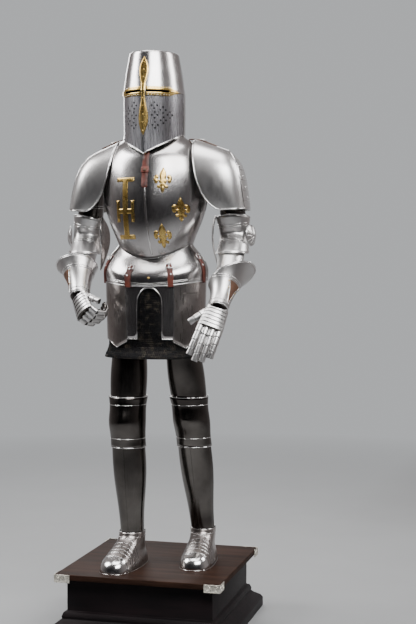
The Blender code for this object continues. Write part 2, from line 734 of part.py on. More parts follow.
def make_fauld():
    """The flange and hoop in front and behind, and the straps that carry the skirt plates."""
    for name, middle in (("fauld_front", 0.0), ("fauld_back", 180.0)):
        columns = [middle + a for a in fan(FAULD_REACH, FAULD_STEPS)]
        rows = [[ring_point(ring, a) for a in columns] for ring in reversed(FAULD)]
        sheet(name, rows, "steel")
    for number, degrees in enumerate(STRAP_ANGLES, 1):
        rings = [ring_between(FAULD, level) for level in (2.3, 3.0, 4.0, 5.0, 6.0)]
        last = rings[-1]
        drop = last._replace(
            front_s=last.front_s - STRAP_DROP, side_s=last.side_s - STRAP_DROP, back_s=last.back_s - STRAP_DROP
        )
        turn = math.degrees(STRAP_HALF_WIDTH / FAULD[-1].half_width)
        inner = [a for a in fan(FAULD_REACH, FAULD_STEPS) if abs(a - degrees) < turn - 0.1]
        columns = [degrees - turn, *inner, degrees + turn]
        rows = [[fauld_chord(ring, a, 2 * GAP) for a in columns] for ring in reversed([*rings, drop])]
        sheet(f"skirt_strap_{number}", rows, "leather", LEATHER, outwards=True)


def skirt_ring(s, out=0.0):
    """A ring of the skirt, hung just inside the hoop."""
    share = (SKIRT_TOP - s) / (SKIRT_TOP - SKIRT_LOW)
    hoop = FAULD[-1]
    inset = LAP + SKIRT_TAPER * share - out
    side = s + (hoop.side_s - hoop.front_s) * (1 - share)
    return Ring(hoop.half_width - inset, hoop.front - inset, hoop.back - inset, s, side, side, 0.0)


def skirt_rows(columns, low_edge, out=0.0, high_edge=None):
    """Rows of a skirt plate from its low edge to the top, each column with its own low edge."""
    rows = []
    for height in spread(0.0, 1.0, SKIRT_ROWS):
        row = []
        for a in columns:
            low = low_edge(a)
            high = high_edge(a) if high_edge else SKIRT_TOP
            row.append(ring_point(skirt_ring(low + (high - low) * height, out), a + SKIRT_TURN))
        rows.append(row)
    return rows


def tasset_low_edge(degrees):
    """A tasset's low edge, drawn down to a point."""
    share = max(0.0, 1 - abs(abs(degrees) - TASSET_POINT_AT) / 20.0)
    return SKIRT_LOW - TASSET_POINT * share


def arch_low_edge(degrees):
    """The arch plate's low edge: the round arch, and its two legs beside it."""
    x = abs(skirt_ring(ARCH_TOP).half_width * math.sin(math.radians(degrees)))
    if x > ARCH_HALF_WIDTH - 1e-6:
        return SKIRT_LOW + 0.004
    rise = math.sqrt(1 - (x / ARCH_HALF_WIDTH) ** 2)
    return ARCH_TOP - 1.25 * ARCH_HALF_WIDTH * (1 - rise)


def make_skirt():
    """The arch plate in the middle, a pointed tasset each side, and the plate behind."""
    edge = math.degrees(math.asin(ARCH_HALF_WIDTH / skirt_ring(ARCH_TOP).half_width))
    inner = [edge * share for share in (0.0, 0.3, 0.55, 0.76, 0.9, 0.975)]
    columns = [-a for a in reversed(inner[1:])] + inner
    crown = skirt_rows(columns, arch_low_edge, -ARCH_UNDER)
    left_leg = skirt_rows(spread(edge, ARCH_PLATE_REACH, 2), arch_low_edge, -ARCH_UNDER)
    right_leg = skirt_rows(spread(-ARCH_PLATE_REACH, -edge, 2), arch_low_edge, -ARCH_UNDER)
    make_arch_plate(crown, left_leg, right_leg)
    columns = [TASSET_IN, 33.0, 39.0, TASSET_POINT_AT, 50.0, 58.0, 68.0, 80.0, 92.0, TASSET_OUT]
    sheet("tasset_l", skirt_rows(columns, tasset_low_edge), "steel")
    sheet("tasset_r", skirt_rows([-a for a in reversed(columns)], tasset_low_edge), "steel")
    behind = skirt_rows(spread(98.0, 262.0, 12), lambda a: SKIRT_LOW, -BACK_UNDER)
    sheet("skirt_back", behind, "steel")


def make_arch_plate(crown, left_leg, right_leg):
    """One sheet from the arch's crown and its two legs, whose edges share their points."""
    points, faces = [], []
    for rows in (right_leg, crown, left_leg):
        faces += [tuple(len(points) + i for i in face) for face in grid_faces(len(rows), len(rows[0]), False)]
        points += [p for row in rows for p in row]
    top = len(crown) - 1
    starts = [0, len(right_leg) * 3, len(right_leg) * 3 + len(crown) * len(crown[0])]
    bridge(faces, points, starts[0] + 2, 3, starts[1], len(crown[0]), top)
    bridge(faces, points, starts[1] + len(crown[0]) - 1, len(crown[0]), starts[2], 3, top)
    obj = add_object("skirt_arch_plate", points, faces, "steel")
    thicken(obj, PLATE)


def bridge(faces, points, first, first_step, second, second_step, top):
    """Joins two columns of points whose heights differ, from their tops down."""
    left = [first + first_step * i for i in range(top + 1)]
    right = [second + second_step * i for i in range(top + 1)]
    i, j = top, top
    while i > 0 or j > 0:
        if i > 0 and (j == 0 or points[left[i - 1]].z >= points[right[j - 1]].z):
            faces.append((left[i], left[i - 1], right[j]))
            i -= 1
        else:
            faces.append((left[i], right[j - 1], right[j]))
            j -= 1


def make_mail():
    """The mail skirt that hangs inside the plates and shows in the arch and below them."""
    rows = [[ring_point(ring, a) for a in spread(0, 342, 19)] for ring in reversed(MAIL_RINGS)]
    sheet("mail_skirt", rows, "mail", MAIL, closed=True)


# Arms


def pauldron_section(row, angles):
    """Points of one level of the left pauldron, for angles from -90, in front, to 90, behind."""
    middle_x = row.inner + (row.outer - row.inner) * (1 - PAULDRON_BEND)
    middle_y = (row.front + row.back) / 2
    half = (row.back - row.front) / 2
    points = []
    for a in angles:
        if abs(a) > 90:
            share = (abs(a) - 90) / 30
            x = middle_x + (row.inner - middle_x) * share
            y = middle_y + half * (1 if a > 0 else -1)
        else:
            turn = math.radians(a)
            cosine, sine = math.cos(turn), math.sin(turn)
            x = middle_x + (row.outer - middle_x) * cosine ** 0.75
            y = middle_y + half * math.copysign(abs(sine) ** 0.75, sine)
        share = (x - row.inner) / (row.outer - row.inner)
        points.append(Vector((x, y, SOLE + row.s_inner + (row.s_outer - row.s_inner) * share)))
    return points


def make_pauldrons():
    """Each pauldron's front wing, and its side and back plate, which runs under the wing's edge."""
    front_angles = [-120.0, -105.0, -90.0, -72.0, -56.0, -42.0, PAULDRON_SPLIT]
    back_angles = [PAULDRON_SPLIT - 8.0, -18.0, 0.0, 20.0, 40.0, 62.0, 90.0, 120.0]
    low, high = PAULDRON[0], PAULDRON[-1]
    for side, narrow in (("l", 0.0), ("r", PAULDRON_NARROWER)):
        outer, inset = [], []
        for row in PAULDRON:
            share = (row.s_outer - low.s_outer) / (high.s_outer - low.s_outer)
            row = row._replace(outer=row.outer - narrow * (0.1 + share))
            outer.append(row)
            inset.append(
                row._replace(
                    s_inner=row.s_inner - LAP * share,
                    s_outer=row.s_outer - LAP * share,
                    inner=row.inner + 0.004,
                    outer=row.outer - LAP,
                    front=row.front + LAP,
                    back=row.back - NEST,
                )
            )
        for name, rows, angles in (("wing", outer, front_angles), ("side", inset, back_angles)):
            rows = [pauldron_section(row, angles) for row in rows]
            if side == "r":
                rows = mirrored(rows, PAULDRON_MIDDLE)
            sheet(f"pauldron_{name}_{side}", rows, "steel")


def make_shoulder_straps():
    """A leather strap from the collar over the slot on top of each pauldron."""
    for side, route in SHOULDER_STRAPS.items():
        rows = []
        for x, s in route:
            rows.append([Vector((x, y, SOLE + s)) for y in (-0.050, -0.023)])
        if side == "r":
            rows = mirrored(rows, PAULDRON_MIDDLE)
        sheet(f"shoulder_strap_{side}", rows, "leather", LEATHER, outwards=True)


def limb_ring(middle, along, front, sizes, columns, lift=0.0):
    """A ring across a limb. Along points to the trunk, and front is the ring's 0 degrees."""
    along = along.normalized()
    ahead = (front - along * front.dot(along)).normalized()
    side = along.cross(ahead)
    points = []
    for a in columns:
        turn = math.radians(a)
        depth = sizes.front if math.cos(turn) > 0 else sizes.back
        rise = lift * (math.cos(turn) - 1) / 2
        across = side * sizes.half_width * math.sin(turn)
        points.append(middle + across + ahead * depth * math.cos(turn) + along * rise)
    return points


def lifted(point):
    """A table point, which is above the soles, as a place in the model."""
    return point + Vector((0, 0, SOLE))


def couter_rings(arm):
    """The elbow plate: waisted in the crook, full behind, and flared at both ends."""
    elbow = lifted(arm.elbow)
    upper = (arm.shoulder - arm.elbow).normalized()
    fore = (arm.elbow - arm.wrist).normalized()
    bones = {"upper": upper, "bent": (upper + fore).normalized(), "fore": fore}
    out = 1 if arm.elbow.x > 0 else -1
    rings = []
    for row in COUTER:
        middle = elbow + bones[row.bone] * row.along + Vector((out, 1, -1)) * row.shift
        across = bones["upper" if row.along > 0 else "bent"]
        rings.append(limb_ring(middle, across, Vector((0, -1, 0)), row, ROUND, row.lift))
    return rings


def make_arm(side, arm):
    """One arm: upper arm tube, elbow plate with its wings, forearm tube, gauntlet cuff and hand."""
    ahead = Vector((0, -1, 0))
    shoulder, elbow, wrist = lifted(arm.shoulder), lifted(arm.elbow), lifted(arm.wrist)
    upper, fore = shoulder - elbow, (elbow - wrist).normalized()
    out = Vector((1, 0, 0)) if side == "l" else Vector((-1, 0, 0))
    rows = []
    for row in [*UPPER_ARM, UPPER_ARM[-1]._replace(along=arm.top)]:
        rows.append(limb_ring(elbow + upper * row.along, upper, ahead, row, ROUND))
    sheet(f"rerebrace_{side}", rows, "steel", closed=True)
    couter = couter_rings(arm)
    sheet(f"couter_{side}", couter, "steel", closed=True)
    make_elbow_wings(side, arm)
    reach = (elbow - wrist).length - ELBOW_CLEAR - 0.004
    rows = []
    for row in FOREARM:
        middle = wrist + fore * (0.004 + row.along * reach) + out * row.shift
        fill = arm.fill * row.along ** 2
        size = row._replace(half_width=row.half_width + fill, front=row.front + fill, back=row.back + fill)
        rows.append(limb_ring(middle, fore, ahead, size, ROUND, -ELBOW_RISE * row.along ** 2))
    sheet(f"vambrace_{side}", rows, "steel", closed=True)
    rows = []
    for row in CUFF:
        share = max(0.0, row.along / CUFF[-1].along)
        middle = wrist + fore * row.along + out * row.shift
        ring = limb_ring(middle, fore, ahead, row, ROUND)
        rows.append([p + fore * arm.cuff_tilt * share * ((p - middle).dot(out) / row.half_width) for p in ring])
    sheet(f"gauntlet_cuff_{side}", rows, "steel", closed=True)
    make_hand(side, arm)


def make_elbow_wings(side, arm):
    """The leaf-shaped plate on the inside of the elbow, and the fluted rosette on its outside."""
    out = 1 if arm.elbow.x > 0 else -1
    elbow = lifted(arm.elbow)
    rows = []
    for row in LEAF:
        middle = elbow + Vector((-out * (row.bulge - arm.leaf), LEAF_Y - 0.12 * min(0.0, row.rise), row.rise))
        tilt = Vector((-out * 0.35, 1.0, 0.0)) * row.half_width
        rows.append([middle - tilt, middle + Vector((-out * 0.004, 0, 0)), middle + tilt])
    if out > 0:
        rows = [list(reversed(row)) for row in rows]
    sheet(f"elbow_leaf_{side}", rows, "steel")
    rows = []
    turned = Matrix.Rotation(math.radians(-ROSETTE_TURN * out), 3, "Z")
    for radius, dome in ((0.008, 0.011), (0.022, 0.007), (0.037, 0.001)):
        row = []
        for i in range(14):
            turn = math.radians(360 / 14 * i)
            flute = 0.0015 * (-1) ** i if radius > 0.01 else 0.0
            spot = Vector((out * (arm.rosette + dome + flute), radius * math.cos(turn), radius * math.sin(turn)))
            row.append(elbow + turned @ spot)
        rows.append(row if out > 0 else list(reversed(row)))
    points = [p for row in rows for p in row]
    faces = [tuple(reversed(face)) for face in grid_faces(len(rows), 14, True)]
    faces.append(tuple(range(14)))
    thicken(add_object(f"elbow_rosette_{side}", points, faces, "steel"), PLATE, outwards=True)


def finger_rings(root, along, back, lengths, bends, inset=0.0):
    """Rings of a finger, mitred at its joints, or of the hollow in it when there is an inset."""
    direction = along.normalized()
    across = direction.cross(back).normalized()
    headings = []
    for bend in bends:
        direction = Matrix.Rotation(math.radians(bend), 3, across) @ direction
        headings.append(direction)
    places = [root - headings[0] * inset * 3]
    for number, (length, heading) in enumerate(zip(lengths, headings)):
        reach = length + (inset * 3 if number == 0 else 0.0) - (inset if number == len(lengths) - 1 else 0.0)
        places.append(places[-1] + heading * reach)
    rows = []
    for number, place in enumerate(places):
        before = headings[max(0, number - 1)]
        after = headings[min(number, len(headings) - 1)]
        normal = (before + after).normalized()
        mitre = 1.0 / max(0.5, normal.dot(after))
        size = 1.0 - 0.04 * number
        half_width = FINGER_WIDTH / 2 * size - inset
        half_depth = (FINGER_DEPTH / 2 * size - inset) * mitre
        upwards = across.cross(normal)
        row = []
        for i in range(6):
            turn = math.radians(60 * i + 30)
            row.append(place + across * 1.1 * math.cos(turn) * half_width + upwards * math.sin(turn) * half_depth)
        rows.append(row)
    return rows


def hand_rings(wrist, fore, along, back, inset=0.0):
    """Rings of the hand plates, or of the hollow in them when there is an inset. The first faces the cuff."""
    rows = []
    for row in reversed(HAND):
        size = row._replace(half_width=row.half_width - inset, front=row.front - inset, back=row.back - inset)
        if row is HAND[0]:
            start = wrist + fore * (row.along + (0.010 if inset else 0.0))
            rows.append(limb_ring(start, fore, back, size, HAND_ROUND))
        else:
            shift = inset if row is HAND[-1] else 0.0
            rows.append(limb_ring(wrist - along * (row.along + shift), -along, back, size, HAND_ROUND))
    return rows


def make_hand(side, arm):
    """The hollow hand: plates to the knuckles, four fingers and a thumb of small lames."""
    along, back = arm.hand_along.normalized(), arm.hand_back
    back = (back - along * back.dot(along)).normalized()
    across = along.cross(back).normalized() * (-1 if side == "l" else 1)
    wrist = lifted(arm.wrist)
    fore = (arm.elbow - arm.wrist).normalized()
    name = f"gauntlet_hand_{side}"
    hand = body(name, hand_rings(wrist, fore, along, back), "steel")
    knuckles = wrist + along * (HAND_LENGTH - 0.010)
    digits = []
    for number, length in enumerate(FINGER_LENGTHS):
        aside = number - 1.5
        root = knuckles + across * aside * FINGER_SPACING
        lengths = [lame * length for lame in FINGER_LAMES]
        bends = (arm.knuckle, arm.bend, arm.bend, arm.bend)
        digits.append((root, along + across * aside * 0.02, lengths, bends))
    root = wrist + along * 0.020 - across * 0.029 - back * 0.004
    digits.append((root, along - across * 0.75, THUMB_LAMES, THUMB_BENDS))
    for inset, operation in ((0.0, "UNION"), (FINGER_WALL, "DIFFERENCE")):
        if inset:
            combine(hand, f"hollow_{side}", hand_rings(wrist, fore, along, back, inset), operation)
        for number, (root, direction, lengths, bends) in enumerate(digits):
            rows = finger_rings(root, direction, back, lengths, bends, inset)
            combine(hand, f"digit_{side}_{number}_{operation.lower()}", rows, operation)


def body(name, rows, finish):
    """A closed body through rings."""
    obj = add_object(name, *loft(rows), finish)
    make_normals_face_out(obj)
    return obj


def combine(target, name, rows, operation):
    """Unites a closed body with the target, or cuts it away."""
    tool = body(name, rows, "steel")
    tool.hide_render = True
    tool.display_type = "WIRE"
    modifier = target.modifiers.new(name, "BOOLEAN")
    modifier.operation = operation
    modifier.solver = "EXACT"
    modifier.object = tool


# Legs


def leg_middle(leg, s):
    """The leg's centre line at a height: straight from hip to knee and from knee to ankle."""
    top, bottom = (leg.hip, leg.knee) if s > leg.knee.z else (leg.knee, leg.ankle)
    share = (s - bottom.z) / (top.z - bottom.z)
    return Vector((bottom.x + (top.x - bottom.x) * share, bottom.y + (top.y - bottom.y) * share, SOLE + s))


def leg_rows(leg, table, turn=0.0):
    """Level rings of a leg plate round the centre line."""
    rows = []
    for row in table:
        middle = leg_middle(leg, row.s)
        points = []
        for a in ROUND:
            angle = math.radians(a)
            ahead = math.cos(angle)
            depth = (row.front if ahead > 0 else row.back) + row.keel * keel_share((a + 180) % 360 - 180, 21.0)
            offset = Vector((row.half_width * math.sin(angle), -depth * ahead, 0))
            points.append(middle + Matrix.Rotation(math.radians(turn), 3, "Z") @ offset)
        rows.append(points)
    return rows


def sabaton_rows(leg):
    """The foot's rings from the sole up: a square toe, narrower behind it, and round at the ankle."""
    rows = []
    turned = Matrix.Rotation(math.radians(leg.toe_turn), 3, "Z")
    for row in SABATON:
        points = []
        squareness = 2.0 / (2.0 + 1.4 * max(0.0, (row.toe - 0.06) / 0.14))
        for a in ROUND:
            angle = math.radians(a)
            ahead, aside = math.cos(angle), math.sin(angle)
            forward = math.copysign(abs(ahead) ** squareness, ahead)
            across = math.copysign(abs(aside) ** squareness, aside)
            reach = row.toe if forward > 0 else row.heel
            widen = 1.0 - SABATON_NARROW * max(0.0, 0.45 - forward) * min(1.0, (row.toe - 0.05) / 0.1)
            offset = Vector((row.half_width * across * widen, -reach * forward, 0))
            points.append(Vector((leg.ankle.x, leg.ankle.y, SOLE + row.s)) + turned @ offset)
        rows.append(points)
    return rows


def make_leg(side, leg):
    """One leg: thigh, knee, shin and foot plates, each nested in the next."""
    sheet(f"cuisse_{side}", leg_rows(leg, CUISSE), "steel", closed=True)
    sheet(f"poleyn_{side}", leg_rows(leg, POLEYN), "steel", closed=True)
    sheet(f"greave_{side}", leg_rows(leg, GREAVE), "steel", closed=True)
    sheet(f"sabaton_{side}", sabaton_rows(leg), "steel", closed=True)


# Plinth


def box(name, low, high, finish):
    """A plain box between two corners."""
    xs, ys, zs = zip(low, high)
    points = [Vector((x, y, z)) for z in zs for y in ys for x in xs]
    faces = [(0, 2, 3, 1), (4, 5, 7, 6), (0, 1, 5, 4), (1, 3, 7, 5), (3, 2, 6, 7), (2, 0, 4, 6)]
    return add_object(name, points, faces, finish)


def make_plinth():
    """The box with its base moulding, the overhanging top, and a silver bracket on each corner."""
    half_x, half_y = PLINTH_WIDTH / 2, PLINTH_DEPTH / 2
    under_top = PLINTH_HEIGHT - TOP_THICKNESS
    rows = []
    for step in [*PLINTH_STEPS, PlinthStep(under_top - GAP, 0.0)]:
        x, y = half_x - BOX_INSET + step.overhang, half_y - BOX_INSET + step.overhang
        rows.append([Vector((a, b, step.height)) for a, b in ((-x, -y), (x, -y), (x, y), (-x, y))])
    points, faces = loft(rows)
    add_object("plinth_box", points, faces, "wood")
    top = box("plinth_top", (-half_x, -half_y, under_top), (half_x, half_y, PLINTH_HEIGHT), "wood")
    bevel = top.modifiers.new("softened edge", "BEVEL")
    bevel.width = 0.002
    bevel.segments = 1
    for name, x, y in (("fl", -1, -1), ("fr", 1, -1), ("bl", -1, 1), ("br", 1, 1)):
        make_bracket(f"corner_bracket_{name}", x, y)


def make_bracket(name, x, y):
    """An angle of sheet silver round one corner of the top, on both edges."""
    half_x, half_y = PLINTH_WIDTH / 2 + GAP, PLINTH_DEPTH / 2 + GAP
    out = BRACKET_THICKNESS
    corner = [
        (half_x - BRACKET_LENGTH, half_y),
        (half_x, half_y),
        (half_x, half_y - BRACKET_LENGTH),
        (half_x + out, half_y - BRACKET_LENGTH),
        (half_x + out, half_y + out),
        (half_x - BRACKET_LENGTH, half_y + out),
    ]
    high = PLINTH_HEIGHT
    low = high - BRACKET_HEIGHT
    points = [Vector((a * x, b * y, z)) for z in (low, high) for a, b in corner]
    faces = [(0, 5, 4, 1), (1, 4, 3, 2), (6, 7, 10, 11), (7, 8, 9, 10)]
    for i in range(6):
        j = (i + 1) % 6
        faces.append((i, j, j + 6, i + 6))
    make_normals_face_out(add_object(name, points, faces, "silver"))


def main():
    """Builds the suit and its plinth."""
    for obj in list(bpy.data.objects):
        bpy.data.objects.remove(obj)
    make_plinth()
    for side, leg in LEGS.items():
        make_leg(side, leg)
    make_mail()
    make_fauld()
    make_skirt()
    make_cuirass()
    make_pauldrons()
    make_shoulder_straps()
    for side, arm in ARMS.items():
        make_arm(side, arm)
    make_helm()


main()
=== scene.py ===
# %% [markdown]
# A suit of plate armour on its wooden plinth
#
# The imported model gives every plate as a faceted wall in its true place. This lesson turns those walls
# into polished sheet metal: it smooths each plate, rolls its edges, sets its rivets, cuts the brass,
# hangs the mail ring by ring, and lights it all as a studio would.

import math

import bmesh
import bpy
import numpy as np
from mathutils import Matrix, Vector
from mathutils.bvhtree import BVHTree
from mathutils.geometry import delaunay_2d_cdt


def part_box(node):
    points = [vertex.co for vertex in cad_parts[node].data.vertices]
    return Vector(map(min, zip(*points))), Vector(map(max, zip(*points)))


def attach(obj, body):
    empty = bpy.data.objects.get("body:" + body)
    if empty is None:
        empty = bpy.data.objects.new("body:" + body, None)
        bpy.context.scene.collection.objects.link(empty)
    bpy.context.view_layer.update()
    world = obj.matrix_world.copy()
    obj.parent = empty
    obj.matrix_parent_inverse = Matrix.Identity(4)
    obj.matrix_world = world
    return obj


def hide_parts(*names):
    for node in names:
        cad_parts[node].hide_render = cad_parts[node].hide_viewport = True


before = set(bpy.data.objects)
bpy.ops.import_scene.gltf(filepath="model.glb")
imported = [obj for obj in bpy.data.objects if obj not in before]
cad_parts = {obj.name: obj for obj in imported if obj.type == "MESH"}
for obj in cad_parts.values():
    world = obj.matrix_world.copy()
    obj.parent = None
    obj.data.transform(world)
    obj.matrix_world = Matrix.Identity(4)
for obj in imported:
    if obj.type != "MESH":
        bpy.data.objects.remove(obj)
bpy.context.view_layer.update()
MM = 0.001
UP, FORWARD, INWARDS = Vector((0, 0, 1)), Vector((0, -1, 0)), Vector((0, 1, 0))
SOLE_GAP = 0.3 * MM
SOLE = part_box("plinth_top")[1].z + SOLE_GAP
print("frame:", len(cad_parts), "nodes, the soles stand at", round(SOLE, 4))

# %% [markdown]
# The camera comes first, so that every later look is through the photographer's eye. It stood a little
# to the armour's left, 1.3 m up, with a moderate telephoto lens.

# %% Camera
CAMERA_AT = Vector((1.3045, -4.2658, 1.3031))
CAMERA_TURN = math.radians(14.793)
CAMERA_DIP = math.radians(2.306)
LENS_MM, SENSOR_MM = 71.64, 36.0

camera_data = bpy.data.cameras.new("camera")
camera_data.lens = LENS_MM
camera_data.sensor_width = SENSOR_MM
camera = bpy.data.objects.new("camera", camera_data)
bpy.context.scene.collection.objects.link(camera)
camera.location = CAMERA_AT
camera.rotation_euler = (math.pi / 2 - CAMERA_DIP, 0.0, CAMERA_TURN)
bpy.context.scene.camera = camera
print("camera: lens", LENS_MM, "mm")


# %% [markdown]
# Two small helpers serve every material and every Geometry Nodes tree: one turns a colour as a screen
# shows it into the linear values that Blender mixes, and one adds a node with its settings and links.

# %% Colours and nodes
def linear(hex_colour):
    """An sRGB colour such as #c8a04a as linear red, green, blue and alpha."""
    shares = [int(hex_colour[i : i + 2], 16) / 255 for i in (1, 3, 5)]
    return (*(s / 12.92 if s <= 0.04045 else ((s + 0.055) / 1.055) ** 2.4 for s in shares), 1.0)


def add_node(tree, kind, inputs=None, **settings):
    """Adds a node. Inputs are set or linked by name or number, and settings are the node's own."""
    made = tree.nodes.new(kind)
    for key, value in settings.items():
        setattr(made, key, value)
    for key, value in (inputs or {}).items():
        if isinstance(value, bpy.types.NodeSocket):
            tree.links.new(value, made.inputs[key])
        elif isinstance(value, str) and value.startswith("#"):
            made.inputs[key].default_value = linear(value)
        else:
            made.inputs[key].default_value = value
    return made


print("a middle grey, #808080, is", round(linear("#808080")[0], 3), "in linear light")


# %% [markdown]
# Every finish is told in the same three steps: a pattern that the tool, the hide or the wood leaves, two
# tones that it mixes, and the way the surface takes the light. The Principled shader does the last, so
# that the render and an exported model agree.

# %% What makes a finish
def start_material(name):
    """An empty material with a Principled shader. Returns the material, its tree and the shader."""
    made = bpy.data.materials.new(name)
    made.use_nodes = True
    made.node_tree.nodes.clear()
    shader = add_node(made.node_tree, "ShaderNodeBsdfPrincipled")
    add_node(made.node_tree, "ShaderNodeOutputMaterial", {"Surface": shader.outputs[0]})
    return made, made.node_tree, shader


def pattern(tree, scale, stretch=(1.0, 1.0, 1.0), detail=3.0, kind="ShaderNodeTexNoise"):
    """A noise in the piece's own place. Scale is in grains per metre, before the stretch."""
    spot = add_node(tree, "ShaderNodeTexCoord").outputs["Object"]
    mapped = add_node(tree, "ShaderNodeMapping", {"Vector": spot, "Scale": stretch})
    noise = add_node(tree, kind, {"Vector": mapped.outputs[0], "Scale": scale, "Detail": detail})
    return noise.outputs[0]


def two_tones(tree, value, first, second, start=0.3, end=0.7):
    """A colour that turns from one tone to another as a value goes from start to end, and its share."""
    share = add_node(tree, "ShaderNodeMapRange", {"Value": value, "From Min": start, "From Max": end})
    tones = {0: share.outputs[0], 6: first, 7: second}
    return add_node(tree, "ShaderNodeMix", tones, data_type="RGBA").outputs[2], share.outputs[0]


def set_surface(tree, shader, colour, rough, reliefs=(), metallic=0.0):
    """Gives a surface its colour, roughness and relief.

    Rough is one value, or a pattern with the lowest and the highest. Each relief is a height pattern, its
    depth in metres and its strength, and it lies on the one before.
    """
    tree.links.new(colour, shader.inputs["Base Color"])
    shader.inputs["Metallic"].default_value = metallic
    if isinstance(rough, tuple):
        grain, low, high = rough
        reach = {"Value": grain, "From Min": 0.3, "From Max": 0.7, "To Min": low, "To Max": high}
        varied = add_node(tree, "ShaderNodeMapRange", reach)
        tree.links.new(varied.outputs[0], shader.inputs["Roughness"])
    else:
        shader.inputs["Roughness"].default_value = rough
    below = {}
    for height, depth, strength in reliefs:
        inputs = {"Height": height, "Distance": depth, "Strength": strength, **below}
        below = {"Normal": add_node(tree, "ShaderNodeBump", inputs).outputs[0]}
    if below:
        tree.links.new(below["Normal"], shader.inputs["Normal"])


print("a finish: pattern, two tones, surface")

# %% [markdown]
# Polished mild steel is the whole suit. The sheet is hammered over stakes, ground with ever finer grit
# and buffed, which leaves a mirror that is slightly wavy, with fine scratches up and down, and a
# smoky tint that comes and goes. A metal's colour is in its reflection, so the base colour is pale. A
# wave of the hammer is some 70 mm long. Real scratches are far finer than a pixel, so they are drawn
# 2 to 3 mm apart. Plates that a workshop buffs less, and those that are smoked, are rougher and darker.

# %% Polished steel
def make_steel(name, pale, smoky, low_rough, high_rough):
    """Buffed sheet steel: two close greys, waviness from the hammer, and fine polishing lines."""
    made, tree, shader = start_material(name)
    colour, _ = two_tones(tree, pattern(tree, 7.0, detail=4.0), pale, smoky)
    scratches = pattern(tree, 420.0, (1.0, 1.0, 0.045), detail=2.0)
    waves = pattern(tree, 14.0, detail=1.0)
    reliefs = [(waves, 0.7 * MM, 0.35), (scratches, 0.02 * MM, 0.15)]
    set_surface(tree, shader, colour, (scratches, low_rough, high_rough), reliefs, metallic=1.0)
    return made


STEEL = make_steel("buffed_mild_steel", "#d2d0d0", "#a9a4a2", 0.19, 0.27)
SATIN_STEEL = make_steel("satin_ground_steel", "#e2e1e0", "#c4c1c0", 0.30, 0.38)
# The burnished steel also serves the toe caps as a painted highlight.
BURNISHED_AND_HIGHLIGHT_STEEL = make_steel("burnished_and_highlight_steel", "#f0efee", "#d8d6d5", 0.14, 0.22)
FACE_STEEL = make_steel("blued_face_steel", "#bdbdc2", "#98969a", 0.24, 0.33)
# The smoky steel also serves the feet's instep as painted shade.
SMOKY_SKIRT_AND_SHADE_STEEL = make_steel("smoky_skirt_and_shade_steel", "#b6afac", "#8a8380", 0.26, 0.34)
# The dark steel also serves the gloves under the scales as painted shade between them.
SMOKED_LEG_AND_SHADE_STEEL = make_steel("smoked_leg_and_shade_steel", "#77736f", "#433f3d", 0.15, 0.24)
print("steels:", [m.name for m in (STEEL, SATIN_STEEL, BURNISHED_AND_HIGHLIGHT_STEEL, FACE_STEEL, SMOKY_SKIRT_AND_SHADE_STEEL, SMOKED_LEG_AND_SHADE_STEEL)])

# %% [markdown]
# Nobody polishes the inside of a helm, and it is left dark from the forge. It is drawn nearly black, partly
# painted shade, so that the breaths and the sight look like ink from outside. Forge scale flakes about a
# centimetre across.

# %% Forge scale and painted shade inside
FORGE_AND_SHADE_INSIDE, tree, shader = start_material("forge_black_scale")
colour, scale = two_tones(tree, pattern(tree, 90.0, detail=4.0), "#0b0b0c", "#1a1817")
set_surface(tree, shader, colour, 0.8, [(scale, 0.3 * MM, 0.5)])
print("inside of the helm:", FORGE_AND_SHADE_INSIDE.name)

# %% [markdown]
# The cross, the lilies and the helm's band are sheet brass, sawn to shape and buffed. Brass darkens
# to brown where the cloth doesn't reach, so a broad noise, about 45 mm from patch to patch, mixes the
# two tones, and a finer one of 3 mm leaves the marks of the buffing wheel.

# %% Brass
BRASS, tree, shader = start_material("buffed_sheet_brass")
colour, _ = two_tones(tree, pattern(tree, 22.0, detail=2.0), "#e0c27a", "#b8944c", 0.25, 0.8)
dents = [(pattern(tree, 60.0), 0.12 * MM, 0.3)]
set_surface(tree, shader, colour, (pattern(tree, 300.0), 0.20, 0.34), dents, metallic=1.0)
print("trim:", BRASS.name)

# %% [markdown]
# The straps are vegetable-tanned cow hide, dyed red-brown. Its pebble grain is about 1.5 mm across, and
# it is drawn at 2.5 mm so that it shows at this size. Handling darkens it in patches. The gores of the
# cuffs and the shoulder straps are a browner hide with less dye and wax.

# %% Leather
def make_hide(name, dyed, handled, patches, pebbles, depth, rough, shine):
    """Grained hide: two tones in patches, and a relief of pebbles."""
    made, tree, shader = start_material(name)
    colour, _ = two_tones(tree, pattern(tree, patches, detail=5.0), dyed, handled)
    grain = pattern(tree, pebbles, kind="ShaderNodeTexVoronoi")
    set_surface(tree, shader, colour, rough, [(grain, depth, 0.6)])
    shader.inputs["Specular IOR Level"].default_value = shine
    return made


LEATHER = make_hide("red_brown_hide", "#6f3326", "#3a1b15", 45.0, 400.0, 0.4 * MM, 0.5, 0.45)
GLOVE = make_hide("brown_glove_hide", "#6d4a34", "#3c2519", 35.0, 420.0, 0.5 * MM, 0.62, 0.5)
print("hides:", LEATHER.name, GLOVE.name)

# %% [markdown]
# Mail is drawn iron wire, left black from the forge, with paler bronze patches at random that are painted
# glints. Behind the rings hangs a near-black backing, painted shade, which keeps light from passing where the
# rings leave gaps. Its specks are 4 mm across, half a ring.

# %% Mail
RING_IRON, tree, shader = start_material("blackened_iron_wire")
# The paler bronze tone, in patches at random, is painted glints.
colour, _ = two_tones(tree, pattern(tree, 60.0, detail=4.0), "#1b1b1e", "#72685b", 0.5, 0.75)
set_surface(tree, shader, colour, (pattern(tree, 150.0), 0.25, 0.5), metallic=1.0)

